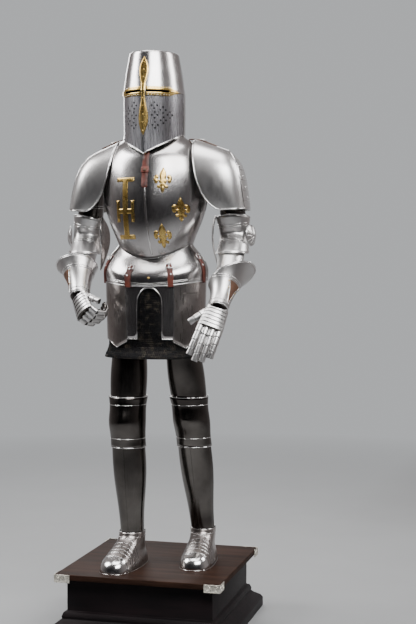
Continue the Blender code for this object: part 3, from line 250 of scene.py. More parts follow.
# The backing is near-black, painted shade behind the rings.
SHADE_BACKING, tree, shader = start_material("painted_shade_mail_backing")
specks = pattern(tree, 240.0, kind="ShaderNodeTexVoronoi")
colour, share = two_tones(tree, specks, "#070708", "#121112", 0.2, 0.6)
set_surface(tree, shader, colour, 0.8, [(share, 1.0 * MM, 0.7)])
print("mail:", RING_IRON.name, SHADE_BACKING.name)

# %% [markdown]
# The plinth is mahogany, stained almost black below and browner on its top, rubbed down to a dull
# satin. Grain is a noise drawn out along the boards: a streak is 1 to 2 mm wide and some 60 mm long.

# %% Satin mahogany
def make_mahogany(name, dark, light, shine):
    """Stained mahogany with its grain along X, under a thin dull varnish."""
    made, tree, shader = start_material(name)
    grain = pattern(tree, 500.0, (0.025, 1.0, 1.0), detail=4.0)
    broad = pattern(tree, 30.0, (0.12, 1.0, 1.0), detail=2.0)
    both = add_node(tree, "ShaderNodeMath", {0: grain, 1: broad}, operation="MULTIPLY").outputs[0]
    colour, _ = two_tones(tree, both, dark, light, 0.14, 0.40)
    set_surface(tree, shader, colour, (grain, 0.48, 0.62), [(grain, 0.08 * MM, 0.5)])
    shader.inputs["Specular IOR Level"].default_value = shine
    return made


MAHOGANY = make_mahogany("satin_mahogany", "#1f1511", "#3a2820", 0.03)
BLACK_WOOD = make_mahogany("ebonised_mahogany", "#0c090b", "#1c1315", 0.16)
print("wood:", MAHOGANY.name, BLACK_WOOD.name)

# %% [markdown]
# The corner mounts are thin silver-plated sheet, stamped with leaf scrolls. The stamping is relief in
# the metal, with a leaf every 9 mm, and the hollows of the stamp have gone grey.

# %% Silver plate
SILVER, tree, shader = start_material("stamped_silver_plate")
stamp = pattern(tree, 110.0, detail=1.0, kind="ShaderNodeTexVoronoi")
colour, _ = two_tones(tree, stamp, "#6f6b62", "#e6e2d6", 0.15, 0.6)
set_surface(tree, shader, colour, (pattern(tree, 200.0), 0.25, 0.4), [(stamp, 1.2 * MM, 0.9)], metallic=1.0)
print("materials:", len(bpy.data.materials))


# %% [markdown]
# Geometry Nodes do what repeats or follows an edge. Every tree has named inputs for its sizes, ends in
# Realize Instances and Set Material, and its result is kept as a plain mesh. Between its two ends it
# either stands a shape on every point or sweeps a wire along a line.

# %% Parts of a Geometry Nodes tree
def start_tree(name, sizes):
    """A geometry tree with named sizes and a material. Returns the tree and its input node."""
    tree = bpy.data.node_groups.new(name, "GeometryNodeTree")
    tree.interface.new_socket("Geometry", in_out="INPUT", socket_type="NodeSocketGeometry")
    for label, value in sizes.items():
        socket = tree.interface.new_socket(label, in_out="INPUT", socket_type="NodeSocketFloat")
        socket.default_value = value
    tree.interface.new_socket("Material", in_out="INPUT", socket_type="NodeSocketMaterial")
    tree.interface.new_socket("Geometry", in_out="OUTPUT", socket_type="NodeSocketGeometry")
    return tree, add_node(tree, "NodeGroupInput")


def stood_on_points(tree, marks, shape):
    """Stands a shape on every point of the marks, with its Z along the way that the point faces."""
    points = add_node(tree, "GeometryNodeMeshToPoints", {"Mesh": marks})
    facing = add_node(tree, "GeometryNodeInputNamedAttribute", {"Name": "facing"}, data_type="FLOAT_VECTOR")
    turned = add_node(tree, "FunctionNodeAlignRotationToVector", {"Vector": facing.outputs[0]}, axis="Z")
    inputs = {"Points": points.outputs[0], "Instance": shape, "Rotation": turned.outputs[0]}
    return add_node(tree, "GeometryNodeInstanceOnPoints", inputs).outputs[0]


def end_tree(tree, entry, shape, outer_only=False):
    """Realizes the shape, shades it smooth and gives it the material, or gives it to the first slot only."""
    real = add_node(tree, "GeometryNodeRealizeInstances", {0: shape})
    smooth = add_node(tree, "GeometryNodeSetShadeSmooth", {0: real.outputs[0]})
    inputs = {"Geometry": smooth.outputs[0], "Material": entry.outputs["Material"]}
    painted = add_node(tree, "GeometryNodeSetMaterial", inputs)
    if outer_only:
        slot = add_node(tree, "GeometryNodeInputMaterialIndex")
        equal = {"data_type": "INT", "operation": "EQUAL"}
        first = add_node(tree, "FunctionNodeCompare", {2: slot.outputs[0], 3: 0}, **equal)
        tree.links.new(first.outputs[0], painted.inputs["Selection"])
    add_node(tree, "NodeGroupOutput", {0: painted.outputs[0]})
    return tree


def swept_wire(tree, line, radius, sides, caps):
    """Sweeps a round wire along a curve."""
    wire = add_node(tree, "GeometryNodeCurvePrimitiveCircle", {"Resolution": sides, "Radius": radius})
    inputs = {"Curve": line.outputs[0], "Profile Curve": wire.outputs[0], "Fill Caps": caps}
    return add_node(tree, "GeometryNodeCurveToMesh", inputs).outputs[0]


print("tree parts: a start with named sizes, shapes on points, a wire along a line, an end")

# %% [markdown]
# Three trees serve the whole suit: a rolled edge sweeps a round wire along a line, rivets stand a dome
# on every point, and mail stands a wire ring on every point. A dome is a ball of 12 by 8 faces. A ring
# has only 10 by 4, because there are some 1,600 of them.

# %% Rolled edges, rivets and rings
tree, entry = start_tree("rolled_edge", {"Radius": 2.0 * MM})
line = add_node(tree, "GeometryNodeMeshToCurve", {"Mesh": entry.outputs["Geometry"]})
ROLLED_EDGE = end_tree(tree, entry, swept_wire(tree, line, entry.outputs["Radius"], 8, True))

tree, entry = start_tree("rivets", {"Radius": 3.0 * MM, "Height": 2.0 * MM})
wide, tall = entry.outputs["Radius"], entry.outputs["Height"]
size = add_node(tree, "ShaderNodeCombineXYZ", {"X": wide, "Y": wide, "Z": tall})
ball = add_node(tree, "GeometryNodeMeshUVSphere", {"Segments": 12, "Rings": 8, "Radius": 1.0})
dome = add_node(tree, "GeometryNodeTransform", {"Geometry": ball.outputs[0], "Scale": size.outputs[0]})
RIVETS = end_tree(tree, entry, stood_on_points(tree, entry.outputs["Geometry"], dome.outputs[0]))

tree, entry = start_tree("mail_rings", {"Radius": 5.0 * MM, "Wire": 0.8 * MM})
inputs = {"Resolution": 10, "Radius": entry.outputs["Radius"]}
loop = add_node(tree, "GeometryNodeCurvePrimitiveCircle", inputs)
ring = swept_wire(tree, loop, entry.outputs["Wire"], 4, False)
MAIL_RINGS = end_tree(tree, entry, stood_on_points(tree, entry.outputs["Geometry"], ring))
print("trees:", [group.name for group in bpy.data.node_groups])


# %% [markdown]
# Every piece goes the same way into the object: it is linked, rides on the one body, and hides the CAD nodes
# it stands for.

# %% Placing a piece
def new_object(name, mesh):
    """A linked object at the origin."""
    made = bpy.data.objects.new(name, mesh)
    bpy.context.scene.collection.objects.link(made)
    return made


def baked(obj):
    """Applies the object's modifiers, as the viewport evaluates them."""
    bpy.context.view_layer.update()
    shape = obj.evaluated_get(bpy.context.evaluated_depsgraph_get())
    mesh = bpy.data.meshes.new_from_object(shape)
    obj.modifiers.clear()
    obj.data = mesh
    return obj


def place(obj, slot, *nodes):
    """The piece rides on the suit and stands for these CAD nodes, which it hides. The slot is not used."""
    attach(obj, "root")
    if nodes:
        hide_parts(*nodes)
    return obj


def mesh_from(name, points, faces, finish):
    """A smooth-shaded mesh from points and faces."""
    mesh = bpy.data.meshes.new(name)
    mesh.from_pydata([tuple(p) for p in points], [], faces)
    mesh.materials.append(finish)
    mesh.shade_smooth()
    return mesh


# %% [markdown]
# A piece that a tree grows starts as loose points, with lines between them or a direction that each one
# faces. Beads are the commonest: an armourer's wire and filed edges are lines of points on a plate, swept
# by the rolled-edge tree.

# %% Growing a piece
def marked(name, points, edges=(), facing=()):
    """An object of loose points, with lines between them or a direction that each one faces."""
    mesh = bpy.data.meshes.new(name)
    mesh.from_pydata([tuple(p) for p in points], list(edges), [])
    if len(facing):
        attribute = mesh.attributes.new("facing", "FLOAT_VECTOR", "POINT")
        attribute.data.foreach_set("vector", [c for way in facing for c in way])
    return new_object(name, mesh)


def run_tree(obj, tree, **inputs):
    """Runs a Geometry Nodes tree on an object and keeps the result as a plain mesh."""
    modifier = obj.modifiers.new("nodes", "NODES")
    modifier.node_group = tree
    for socket in tree.interface.items_tree:
        if socket.in_out == "INPUT" and socket.name in inputs:
            modifier[socket.identifier] = inputs[socket.name]
    return baked(obj)


def grow(name, tree, points, finish, slot, edges=(), facing=(), **sizes):
    """A piece that a Geometry Nodes tree grows on points or lines."""
    return place(run_tree(marked(name, points, edges, facing), tree, Material=finish, **sizes), slot)


def beads(name, lines, radius, finish=BURNISHED_AND_HIGHLIGHT_STEEL, slot="steel", loops=()):
    """One mesh of round beads along several lines of points. Loops are the numbers of the closed lines."""
    points, edges = [], []
    for number, line in enumerate(lines):
        start = len(points)
        points += line
        edges += [(start + i, start + i + 1) for i in range(len(line) - 1)]
        if number in loops:
            edges.append((len(points) - 1, start))
    return grow(name, ROLLED_EDGE, points, finish, slot, edges=edges, Radius=radius)


print("trees take:", [socket.name for socket in ROLLED_EDGE.interface.items_tree if socket.in_out == "INPUT"])

# %% [markdown]
# A rolled edge needs the line that it follows. A plate in the frame is a wall with two skins, and the
# faces between them are narrow, no wider than the wall. Walking through these from one to the next gives
# the middle line of each rim, and easing it as subdivision does keeps it on the smoothed plate.

# %% Rims of a wall
WALL_FACE = 2.8 * MM
SHARP_FROM = math.radians(50)


def rim_loops(mesh):
    """The middle lines of a wall's rims, through the faces that are as narrow as the wall."""
    links = {}
    for face in mesh.faces:
        if len(face.edges) != 4:
            continue
        short = [e for e in face.edges if e.calc_length() < WALL_FACE]
        if len(short) == 2 and not set(short[0].verts) & set(short[1].verts):
            for one, other in (short, reversed(short)):
                links.setdefault(one.index, []).append(other.index)
    mesh.edges.ensure_lookup_table()
    middle = {i: (mesh.edges[i].verts[0].co + mesh.edges[i].verts[1].co) / 2 for i in links}
    loops, seen = [], set()
    for start in links:
        if start in seen:
            continue
        loop, at = [start], start
        seen.add(start)
        while True:
            onward = [n for n in links[at] if n not in seen]
            if not onward:
                break
            at = onward[0]
            seen.add(at)
            loop.append(at)
        if len(loop) > 3:
            loops.append(([middle[i] for i in loop], loop[0] in links[loop[-1]]))
    return loops


def eased(line, closed):
    """The cubic that two rounds of subdivision draw along a rim, with sharp corners kept."""
    for _ in range(2):
        count = len(line)
        fresh = []
        for i, spot in enumerate(line):
            before = line[i - 1] if closed or i > 0 else spot
            after = line[(i + 1) % count] if closed or i < count - 1 else spot
            ends = before is spot or after is spot
            corner = ends or (spot - before).angle(after - spot, 0.0) > SHARP_FROM
            fresh.append(spot.copy() if corner else before / 8 + spot * 0.75 + after / 8)
            if closed or i < count - 1:
                fresh.append((spot + after) / 2)
        line = fresh
    return line


square = [Vector((x, y, 0)) for x, y in ((0, 0), (1, 0), (1, 1), (0, 1))]
print("a closed square of 4 points eases to", len(eased(square, True)), "points, with its corners kept")

# %% [markdown]
# The CAD walls are made of a few hundred flat facets. Catmull and Clark's subdivision is what a
# planishing hammer does: it averages the facets into one fair surface. Rims and true creases get a
# crease weight of 1, so that they stay crisp while the rest flows. The smoothed plate is kept as a tree
# of its faces too, which later cells ask where a ray meets it.

# %% Planish a plate
SAME_POINT, CREASE_FROM = 0.02 * MM, math.radians(55)
surfaces = {}
rim_lines = {}


def copied(node, name, finish, clean):
    """A new object from a cleaned copy of a CAD node's mesh, in one finish."""
    mesh = bmesh.new()
    mesh.from_mesh(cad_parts[node].data)
    bmesh.ops.remove_doubles(mesh, verts=mesh.verts, dist=SAME_POINT)
    clean(mesh)
    shape = bpy.data.meshes.new(name)
    mesh.to_mesh(shape)
    mesh.free()
    shape.materials.clear()
    shape.materials.append(finish)
    return new_object(name, shape)


def planish(node, finish, slot="steel", levels=2):
    """A smooth piece from a CAD node, with crisp rims. Its surface and rims are kept for later cells."""

    def clean(mesh):
        """Joins the loose triangles to quads, notes the rims and creases what is truly bent."""
        limits = {"angle_face_threshold": math.radians(40), "angle_shape_threshold": math.radians(80)}
        bmesh.ops.join_triangles(mesh, faces=mesh.faces[:], **limits)
        mesh.edges.index_update()
        rim_lines[node] = rim_loops(mesh)
        crease = mesh.edges.layers.float.new("crease_edge")
        for edge in mesh.edges:
            if len(edge.link_faces) == 2 and edge.calc_face_angle() > CREASE_FROM:
                edge[crease] = 1.0

    obj = copied(node, "plate_" + node, finish, clean)
    fair = obj.modifiers.new("planish", "SUBSURF")
    fair.levels = fair.render_levels = levels
    baked(obj)
    obj.data.shade_smooth()
    obj.data.set_sharp_from_angle(angle=SHARP_FROM)
    corners = [v.co.copy() for v in obj.data.vertices]
    surfaces[node] = BVHTree.FromPolygons(corners, [tuple(p.vertices) for p in obj.data.polygons])
    print(node, len(obj.data.polygons), "faces,", len(rim_lines[node]), "rims")
    return place(obj, slot, node)


def met(node, start, way):
    """Where a ray meets a planished plate, and the plate's normal there on the ray's side."""
    spot, normal, _, _ = surfaces[node].ray_cast(Vector(start), way)
    if spot is not None and not normal.dot(way) < 0:
        normal = -normal
    return spot, normal


print("sharp edges stay sharp from", round(math.degrees(SHARP_FROM)), "degrees")

# %% [markdown]
# Much of a suit is sheet laid on sheet: brass arms, leather gores, bands. All of them start as a flat
# outline. Two measures are needed of it: points at even steps along it, and how far any other point lies
# from it, inside or outside.

# %% Outlines
def spread(first, last, steps):
    """Evenly spaced numbers from first to last."""
    return [first + (last - first) * i / steps for i in range(steps + 1)]


def walked(outline, step):
    """The outline with a point at every step along it."""
    fresh = []
    for start, end in zip(outline, outline[1:] + outline[:1]):
        parts = max(1, round(math.dist(start, end) / step))
        for i in range(parts):
            fresh.append(tuple(a + (b - a) * i / parts for a, b in zip(start, end)))
    return fresh


def edge_distance(spots, outline):
    """How far each flat spot lies from the outline, and whether it is inside."""
    starts = np.array(outline)
    ends = np.roll(starts, -1, axis=0)
    run = ends - starts
    away = spots[:, None, :] - starts[None]
    share = np.clip((away * run).sum(2) / np.maximum((run * run).sum(1), 1e-12), 0, 1)
    distance = np.linalg.norm(away - share[..., None] * run, axis=2).min(1)
    above = (starts[None, :, 1] > spots[:, None, 1]) != (ends[None, :, 1] > spots[:, None, 1])
    rise = np.where(np.abs(run[:, 1]) < 1e-12, 1e-12, run[:, 1])
    cross = starts[None, :, 0] + (spots[:, None, 1] - starts[None, :, 1]) * run[:, 0] / rise
    inside = (above & (spots[:, None, 0] < cross)).sum(1) % 2 == 1
    return distance, inside


print("a square outline of 4 points becomes", len(walked([(0, 0), (1, 0), (1, 1), (0, 1)], 0.1)), "points")

# %% [markdown]
# The outline is filled with triangles, raised like a pillow towards its middle, and wrapped on the plate
# that carries it. Each sheet has a function that wraps it: it turns across, up and out into a point. The
# sheet's back lies a little under the surface, so that no light passes below it.

# %% Sheet laid on sheet
SUNK = 0.4 * MM


def laid_sheet(name, outline, wrap, finish, slot, *nodes, wall=1.5 * MM, dome=0.8 * MM, slope=3.0 * MM,
               step=1.6 * MM):
    """A sheet with a pillowed face, wrapped by its own function. Its back is just under the surface."""
    edge = walked(outline, step)
    spots = np.array(edge)
    low, high = spots.min(0), spots.max(0)
    grid = np.stack(np.meshgrid(np.arange(low[0], high[0], step), np.arange(low[1], high[1], step)), -1)
    grid = grid.reshape(-1, 2)
    distance, inside = edge_distance(grid, edge)
    grid = grid[inside & (distance > step * 0.45)]
    count = len(edge)
    flat = [Vector(p) for p in edge] + [Vector(p) for p in grid]
    rim = [(i, (i + 1) % count) for i in range(count)]
    flat, _, faces, _, _, owners = delaunay_2d_cdt(flat, rim, [tuple(range(count))], 0, 1e-6)
    faces = [face for face, owner in zip(faces, owners) if owner]
    distance, _ = edge_distance(np.array([tuple(p) for p in flat]), edge)
    lift = wall + dome * np.sqrt(1 - (1 - np.clip(distance / slope, 0, 1)) ** 2)
    total = len(flat)
    points = [wrap(p.x, p.y, float(h)) for p, h in zip(flat, lift)]
    points += [wrap(p.x, p.y, -SUNK) for p in flat]
    faces += [tuple(i + total for i in reversed(face)) for face in faces]
    for i in range(count):
        j = (i + 1) % count
        faces.append((j, i, i + total, j + total))
    mesh = bmesh.new()
    shape = mesh_from(name, points, faces, finish)
    mesh.from_mesh(shape)
    bmesh.ops.delete(mesh, geom=[v for v in mesh.verts if not v.link_faces], context="VERTS")
    bmesh.ops.recalc_face_normals(mesh, faces=mesh.faces)
    mesh.to_mesh(shape)
    mesh.free()
    shape.shade_smooth()
    shape.set_sharp_from_angle(angle=SHARP_FROM)
    return place(new_object(name, shape), slot, *nodes)


print("a laid sheet's back is", SUNK / MM, "mm under the plate's surface")

# %% [markdown]
# The great helm is five plates on the real thing. Here it is drawn by one rule: at each height it is a
# half ellipse in front and another behind, with a low ridge down the middle of the face. The same rule
# later tells the brass, the rivets and the rolled edge where to lie.

# %% The helm's rule
HELM = [
    # height above the soles, half width, front depth, back depth, ridge
    (1.440, 0.1050, 0.128, 0.112, 0.007),
    (1.520, 0.1060, 0.129, 0.114, 0.007),
    (1.600, 0.1070, 0.131, 0.116, 0.005),
    (1.664, 0.1070, 0.132, 0.117, 0.003),
    (1.735, 0.0975, 0.123, 0.107, 0.0),
    (1.806, 0.0845, 0.111, 0.092, 0.0),
]
HELM_X, BODY_Y = -0.003, -0.050
HELM_TOP, SEAM, CHIN, NECK = 1.806, 1.664, 1.449, 1.5189
CHIN_REACH, RIDGE_REACH = 78.0, 16.0


def helm_point(degrees, height, out=0.0):
    """A point on the helm. 0 degrees is the ridge in front, and 90 is the wearer's left."""
    for low, high in zip(HELM, HELM[1:]):
        if height <= high[0] or high is HELM[-1]:
            share = (height - low[0]) / (high[0] - low[0])
            _, half, front, back, ridge = [a + (b - a) * share for a, b in zip(low, high)]
            break
    ahead = math.cos(math.radians(degrees))
    ridge *= max(0.0, 1 - abs(degrees) / RIDGE_REACH)
    depth = (front if ahead > 0 else back) + ridge + out
    across = (half + out) * math.sin(math.radians(degrees))
    return Vector((HELM_X + across, BODY_Y - depth * ahead, SOLE + height))


def helm_low_edge(degrees):
    """Level behind, and down to a point in front."""
    share = min(1.0, abs((degrees + 180) % 360 - 180) / CHIN_REACH)
    return CHIN + (NECK - CHIN) * share ** 0.85


print("helm: from", CHIN, "m to", HELM_TOP, "m above the soles")

# %% [markdown]
# A plate is a wall with an outside and an inside. Rows of points on the helm's rule are joined to a
# skin, and Solidify gives it the thickness of the sheet and a second material for the inside.

# %% A wall through rows of points
WALL = 2.0 * MM
HELM_SHARP = math.radians(40)


def wall_grid(name, rows, closed, finish, cap=False):
    """A wall through rows of points, which go up and turn to the left seen from above."""
    columns = len(rows[0])
    faces = []
    for i in range(len(rows) - 1):
        for j in range(columns if closed else columns - 1):
            k = (j + 1) % columns
            faces.append((i * columns + j, i * columns + k, (i + 1) * columns + k, (i + 1) * columns + j))
    points = [p for row in rows for p in row]
    if cap:
        points.append(sum(rows[-1], Vector()) / columns)
        start = (len(rows) - 1) * columns
        faces += [(start + j, start + (j + 1) % columns, len(points) - 1) for j in range(columns)]
    obj = new_object(name, mesh_from(name, points, faces, finish))
    wall = obj.modifiers.new("wall", "SOLIDIFY")
    wall.thickness = WALL
    wall.offset = -1.0
    wall.use_even_offset = True
    # The inside is near-black: forge scale, and painted shade.
    obj.data.materials.append(FORGE_AND_SHADE_INSIDE)
    wall.material_offset = 1
    baked(obj)
    obj.data.shade_smooth()
    obj.data.set_sharp_from_angle(angle=HELM_SHARP)
    return obj


print("a plate's wall:", WALL / MM, "mm")

# %% [markdown]
# The face and the skull plate each stop short of the seam by half a sight where the sight opens, and
# elsewhere nearly touch. The skull plate and the nape lap over the face plate. The skull plate's top is
# turned over in a small round and closed flat.

# %% The helm's three steel plates
SEAM_GAP, SKULL_LAP, NAPE_LAP = 0.15 * MM, 1.2 * MM, 1.5 * MM
SIGHT_START, SIGHT_END, HALF_SIGHT = 5.3, 48.0, 4.0 * MM
TOP_ROUND = 0.004


def helm_rows(columns, steps, low, high, lap=0.0):
    """Rows of points on the helm, from a low to a high edge that are functions of the angle."""
    rows = []
    for share in spread(0.0, 1.0, steps):
        rows.append([helm_point(a, low(a) + (high(a) - low(a)) * share, lap) for a in columns])
    return rows


def sight_edge(degrees):
    """How far the sight opens above and below the seam at this angle."""
    return HALF_SIGHT if SIGHT_START <= abs(degrees) <= SIGHT_END else SEAM_GAP


face_columns = sorted(spread(-89.6, 89.6, 112) + [s * a for s in (-1, 1) for a in (5.29, 5.3, 48.0, 48.01)])
rows = helm_rows(face_columns, 24, helm_low_edge, lambda a: SEAM - sight_edge(a))
face_plate = wall_grid("helm_face_plate", rows, False, FACE_STEEL)

around = sorted(set(face_columns) | set(spread(90.0, 269.0, 110)))
rows = helm_rows(around, 16, lambda a: SEAM + sight_edge(a), lambda a: HELM_TOP - TOP_ROUND, SKULL_LAP)
for turn in (30, 60, 90):
    inset = TOP_ROUND * (1 - math.cos(math.radians(turn)))
    height = HELM_TOP - TOP_ROUND * (1 - math.sin(math.radians(turn)))
    rows.append([helm_point(a, height, SKULL_LAP - inset) for a in around])
rim = rows[-1]
for share in (0.8, 0.5, 0.2):
    middle = sum(rows[-1], Vector()) / len(around)
    rows.append([middle.lerp(p, share) for p in rim])
place(wall_grid("helm_skull_plate", rows, True, STEEL, cap=True), "steel", "helm_skull")

rows = helm_rows(spread(86.0, 274.0, 110), 12, helm_low_edge, lambda a: SEAM - SEAM_GAP, NAPE_LAP)
place(wall_grid("helm_nape_plate", rows, False, STEEL), "steel", "helm_nape")
print("helm plates:", len(face_columns), "columns in front,", len(rows[0]), "on the nape")

# %% [markdown]
# The breaths are drilled holes in groups of four. Perforations are a repeat, so Geometry Nodes stand a
# round cutter on each hole's middle and take all of them from the face plate at once.

# %% Breaths
LOZENGES = [(20.0, 1.615), (20.5, 1.582), (21.0, 1.548), (36.0, 1.600), (36.5, 1.565), (49.5, 1.584)]
HOLE_TURN, HOLE_RISE = 5.0, 10.0 * MM

tree, entry = start_tree("perforations", {"Radius": 3.2 * MM, "Depth": 16.0 * MM})
tree.interface.new_socket("Holes", in_out="INPUT", socket_type="NodeSocketObject")
holes = add_node(tree, "GeometryNodeObjectInfo", {"Object": entry.outputs["Holes"]})
inputs = {"Vertices": 14, "Radius": entry.outputs["Radius"], "Depth": entry.outputs["Depth"]}
drill = add_node(tree, "GeometryNodeMeshCylinder", inputs)
drills = stood_on_points(tree, holes.outputs["Geometry"], drill.outputs[0])
drills = add_node(tree, "GeometryNodeRealizeInstances", {0: drills}).outputs[0]
inputs = {0: entry.outputs["Geometry"], 1: drills}
cut = add_node(tree, "GeometryNodeMeshBoolean", inputs, operation="DIFFERENCE", solver="EXACT")
PERFORATIONS = end_tree(tree, entry, cut.outputs[0], outer_only=True)

spots, ways = [], []
for side in (-1, 1):
    for degrees, height in LOZENGES:
        for turn, rise in ((-HOLE_TURN, 0), (HOLE_TURN, 0), (0, -HOLE_RISE), (0, HOLE_RISE)):
            angle = side * (degrees + turn)
            spots.append(helm_point(angle, height + rise))
            ways.append((math.sin(math.radians(angle)), -math.cos(math.radians(angle)), 0.0))
marks = marked("hole_marks", spots, facing=ways)
run_tree(face_plate, PERFORATIONS, Holes=marks, Material=FACE_STEEL)
bpy.data.objects.remove(marks)
face_plate.data.set_sharp_from_angle(angle=HELM_SHARP)
place(face_plate, "steel", "helm_face")
print("breaths:", len(spots), "holes,", len(face_plate.data.polygons), "faces")

# %% [markdown]
# Sheets and rivets on the helm follow its rule too. Across is measured in metres round from the ridge,
# and one degree is 1.9 mm there. A curve through a few points draws the leaf-shaped outlines.

# %% Wrapping the helm
DEGREE = 1.9 * MM
# A hair of tilt, because a direction that lies quite flat leaves a rivet's turn open.
TILT = Vector((0, 0, 1e-4))


def helm_wrap(u, height, out):
    """Wraps the helm: u metres round from the ridge."""
    lift = SKULL_LAP if height > SEAM else 0.0
    return helm_point(u / DEGREE, height, out + lift)


def helm_studs(name, spots, finish, radius, tall):
    """Domed rivets on the helm, at metres round and height."""
    points = [helm_wrap(u, height, 2.0 * MM) for u, height in spots]
    ways = [helm_wrap(u, height, 9 * MM) - p + TILT for (u, height), p in zip(spots, points)]
    return grow(name, RIVETS, points, finish, "brass", facing=ways, Radius=radius, Height=tall)


def flowing(line, steps=5):
    """A smooth curve through the points of an open line."""
    ends = [line[0]] + line + [line[-1]]
    curve = []
    for a, b, c, d in zip(ends, ends[1:], ends[2:], ends[3:]):
        for t in spread(0, 1, steps)[:-1]:
            curve.append(tuple(
                (2 * q + (r - p) * t + (2 * p - 5 * q + 4 * r - s) * t * t
                 + (3 * q - p - 3 * r + s) * t ** 3) / 2
                for p, q, r, s in zip(a, b, c, d)
            ))
    return curve + [tuple(line[-1])]


print("on the helm 10 mm round is", round(10 * MM / DEGREE, 1), "degrees")

# %% [markdown]
# On the helm's brow and face lies a cross of brass: an upright with two leaf-shaped ends, and a band
# along the sight. Both are thin sheet with a raised middle, fixed by rows of small domed rivets. The
# helm's rule also leads the rolled wire round the lower edge and along the seam.

# %% The helm's brass
BAR = [
    # height, half width
    (1.513, 0.0015), (1.534, 0.0100), (1.556, 0.0160), (1.580, 0.0168), (1.606, 0.0125), (1.630, 0.0078),
    (1.664, 0.0075), (1.690, 0.0085), (1.708, 0.0130), (1.728, 0.0172), (1.748, 0.0170), (1.766, 0.0110),
    (1.782, 0.0015),
]
HALF_BAND, HALF_LEAF = 16.0 * MM, 0.008
BAND_START, SIGHT_TIP, LEAF_WIDEST, LEAF_TIP = 4.9, 48.7, 60.0, 75.0
BAR_LAP, BAND_LAP = 1.2 * MM, 1.0 * MM

side_line = flowing([(half, height) for height, half in BAR])
outline = side_line + [(-u, height) for u, height in reversed(side_line)]
laid_sheet("helm_upright", outline, lambda u, s, h: helm_wrap(u, s, h + BAR_LAP), BRASS, "brass",
           "helm_bar", dome=1.5 * MM, slope=7.0 * MM)
for side, node in ((1, "helm_sight_frame_l"), (-1, "helm_sight_frame_r")):
    outline = [(BAND_START, HALF_SIGHT), (SIGHT_END, HALF_SIGHT), (SIGHT_TIP, 0.0), (SIGHT_END, -HALF_SIGHT)]
    outline += [(BAND_START, -HALF_SIGHT), (BAND_START, -HALF_BAND), (SIGHT_END, -HALF_BAND)]
    outline += [(LEAF_WIDEST, -HALF_LEAF), (LEAF_TIP, 0.0), (LEAF_WIDEST, HALF_LEAF), (SIGHT_END, HALF_BAND)]
    outline += [(BAND_START, HALF_BAND)]
    outline = [(side * a * DEGREE, SEAM + rise) for a, rise in outline][::side]
    laid_sheet("band_" + node[-1], outline, lambda u, s, h: helm_wrap(u, s, h + (s <= SEAM) * BAND_LAP),
               BRASS, "brass", node, dome=0.5 * MM, slope=2.2 * MM)
upright = [(0.0, h) for h in (1.528, 1.556, 1.584, 1.612, 1.640, 1.688, 1.712, 1.738, 1.764)]
helm_studs("upright_rivets", upright, BRASS, 3.0 * MM, 2.8 * MM)
band = [(s * a * DEGREE, SEAM + e * 12.4 * MM) for s in (-1, 1) for e in (-1, 1) for a in spread(10, 47, 7)]
band += [(s * a * DEGREE, SEAM) for s in (-1, 1) for a in (53.0, 68.0)]
helm_studs("band_rivets", band, BURNISHED_AND_HIGHLIGHT_STEEL, 1.7 * MM, 1.6 * MM)
line = [helm_point(a, helm_low_edge(a), 0.2 * MM) for a in spread(-180, 177, 119)]
beads("helm_lower_roll", [line], 2.7 * MM, loops=[0])
line = [helm_point(a, SEAM + sight_edge(a) + 0.8 * MM, 0.4 * MM) for a in spread(49, 311, 131)]
beads("helm_seam_roll", [line], 1.0 * MM)
print("the helm's cross:", len(upright), "rivets on the upright,", len(band), "on the band")

# %% [markdown]
# Next come all the plates that are planished from the frame. The trunk is a mirror. Shoulders, elbows and
# forearms have a paler satin, and the skirt plates and the elbow leaves a smokier one, which the feet take
# too as painted shade. The upper arms and the legs are smoked and polished, and look nearly black, and the
# gloves under their scales take the same dark steel as painted shade between the scales.

# %% Planished plates
TRUNK = ["breastplate", "backplate", "fauld_front", "fauld_back", "skirt_arch_plate", "skirt_back"]
BRIGHT_PAIRS = ("tasset", "pauldron_wing", "pauldron_side", "couter", "elbow_leaf", "elbow_rosette",
                "vambrace", "gauntlet_cuff")
DARK_PAIRS = ("rerebrace", "gauntlet_hand", "cuisse", "poleyn", "greave", "sabaton")
OTHER_STEELS = [
    (SATIN_STEEL, ("pauldron", "couter", "elbow_rosette", "vambrace", "gauntlet_cuff")),
    # The feet's smoky steel is painted shade on the instep.
    (SMOKY_SKIRT_AND_SHADE_STEEL, ("tasset", "elbow_leaf", "sabaton")),
    # The gloves' dark steel is painted shade between the scales.
    (SMOKED_LEG_AND_SHADE_STEEL, ("rerebrace", "gauntlet_hand", "cuisse", "poleyn", "greave")),
]
PLATES = TRUNK + [f"{name}_{side}" for pairs in (BRIGHT_PAIRS, DARK_PAIRS) for side in "lr" for name in pairs]
for node in PLATES:
    planish(node, next((steel for steel, names in OTHER_STEELS if node.startswith(names)), STEEL))
print("planished:", len(PLATES), "plates")

# %% [markdown]
# An armourer never leaves a raw edge: it is rolled over a wire, or at least filed round and burnished.
# That bright bead is what draws each plate's outline, so every rim that shows gets one.

# %% Rolled and burnished rims
ROLLS = {
    # radius in millimetres
    "breastplate": 1.5, "backplate": 1.5, "fauld_front": 1.6, "fauld_back": 1.6, "skirt_arch_plate": 2.2,
    "skirt_back": 1.5, "tasset": 1.6, "pauldron_wing": 2.3, "pauldron_side": 1.9, "couter": 2.1,
    "elbow_leaf": 1.4, "elbow_rosette": 1.2, "gauntlet_cuff": 2.0, "poleyn": 1.8, "cuisse": 1.5,
    "greave": 1.5, "sabaton": 1.4, "rerebrace": 1.3, "vambrace": 1.2,
}
for node, loops in rim_lines.items():
    radius = ROLLS.get(node) or ROLLS.get(node[:-2])
    if radius and loops:
        rings = [number for number, (_, ring) in enumerate(loops) if ring]
        beads("roll_" + node, [eased(loop, ring) for loop, ring in loops], radius * MM, loops=rings)
print("rolled rims on", len(ROLLS), "kinds of plate")

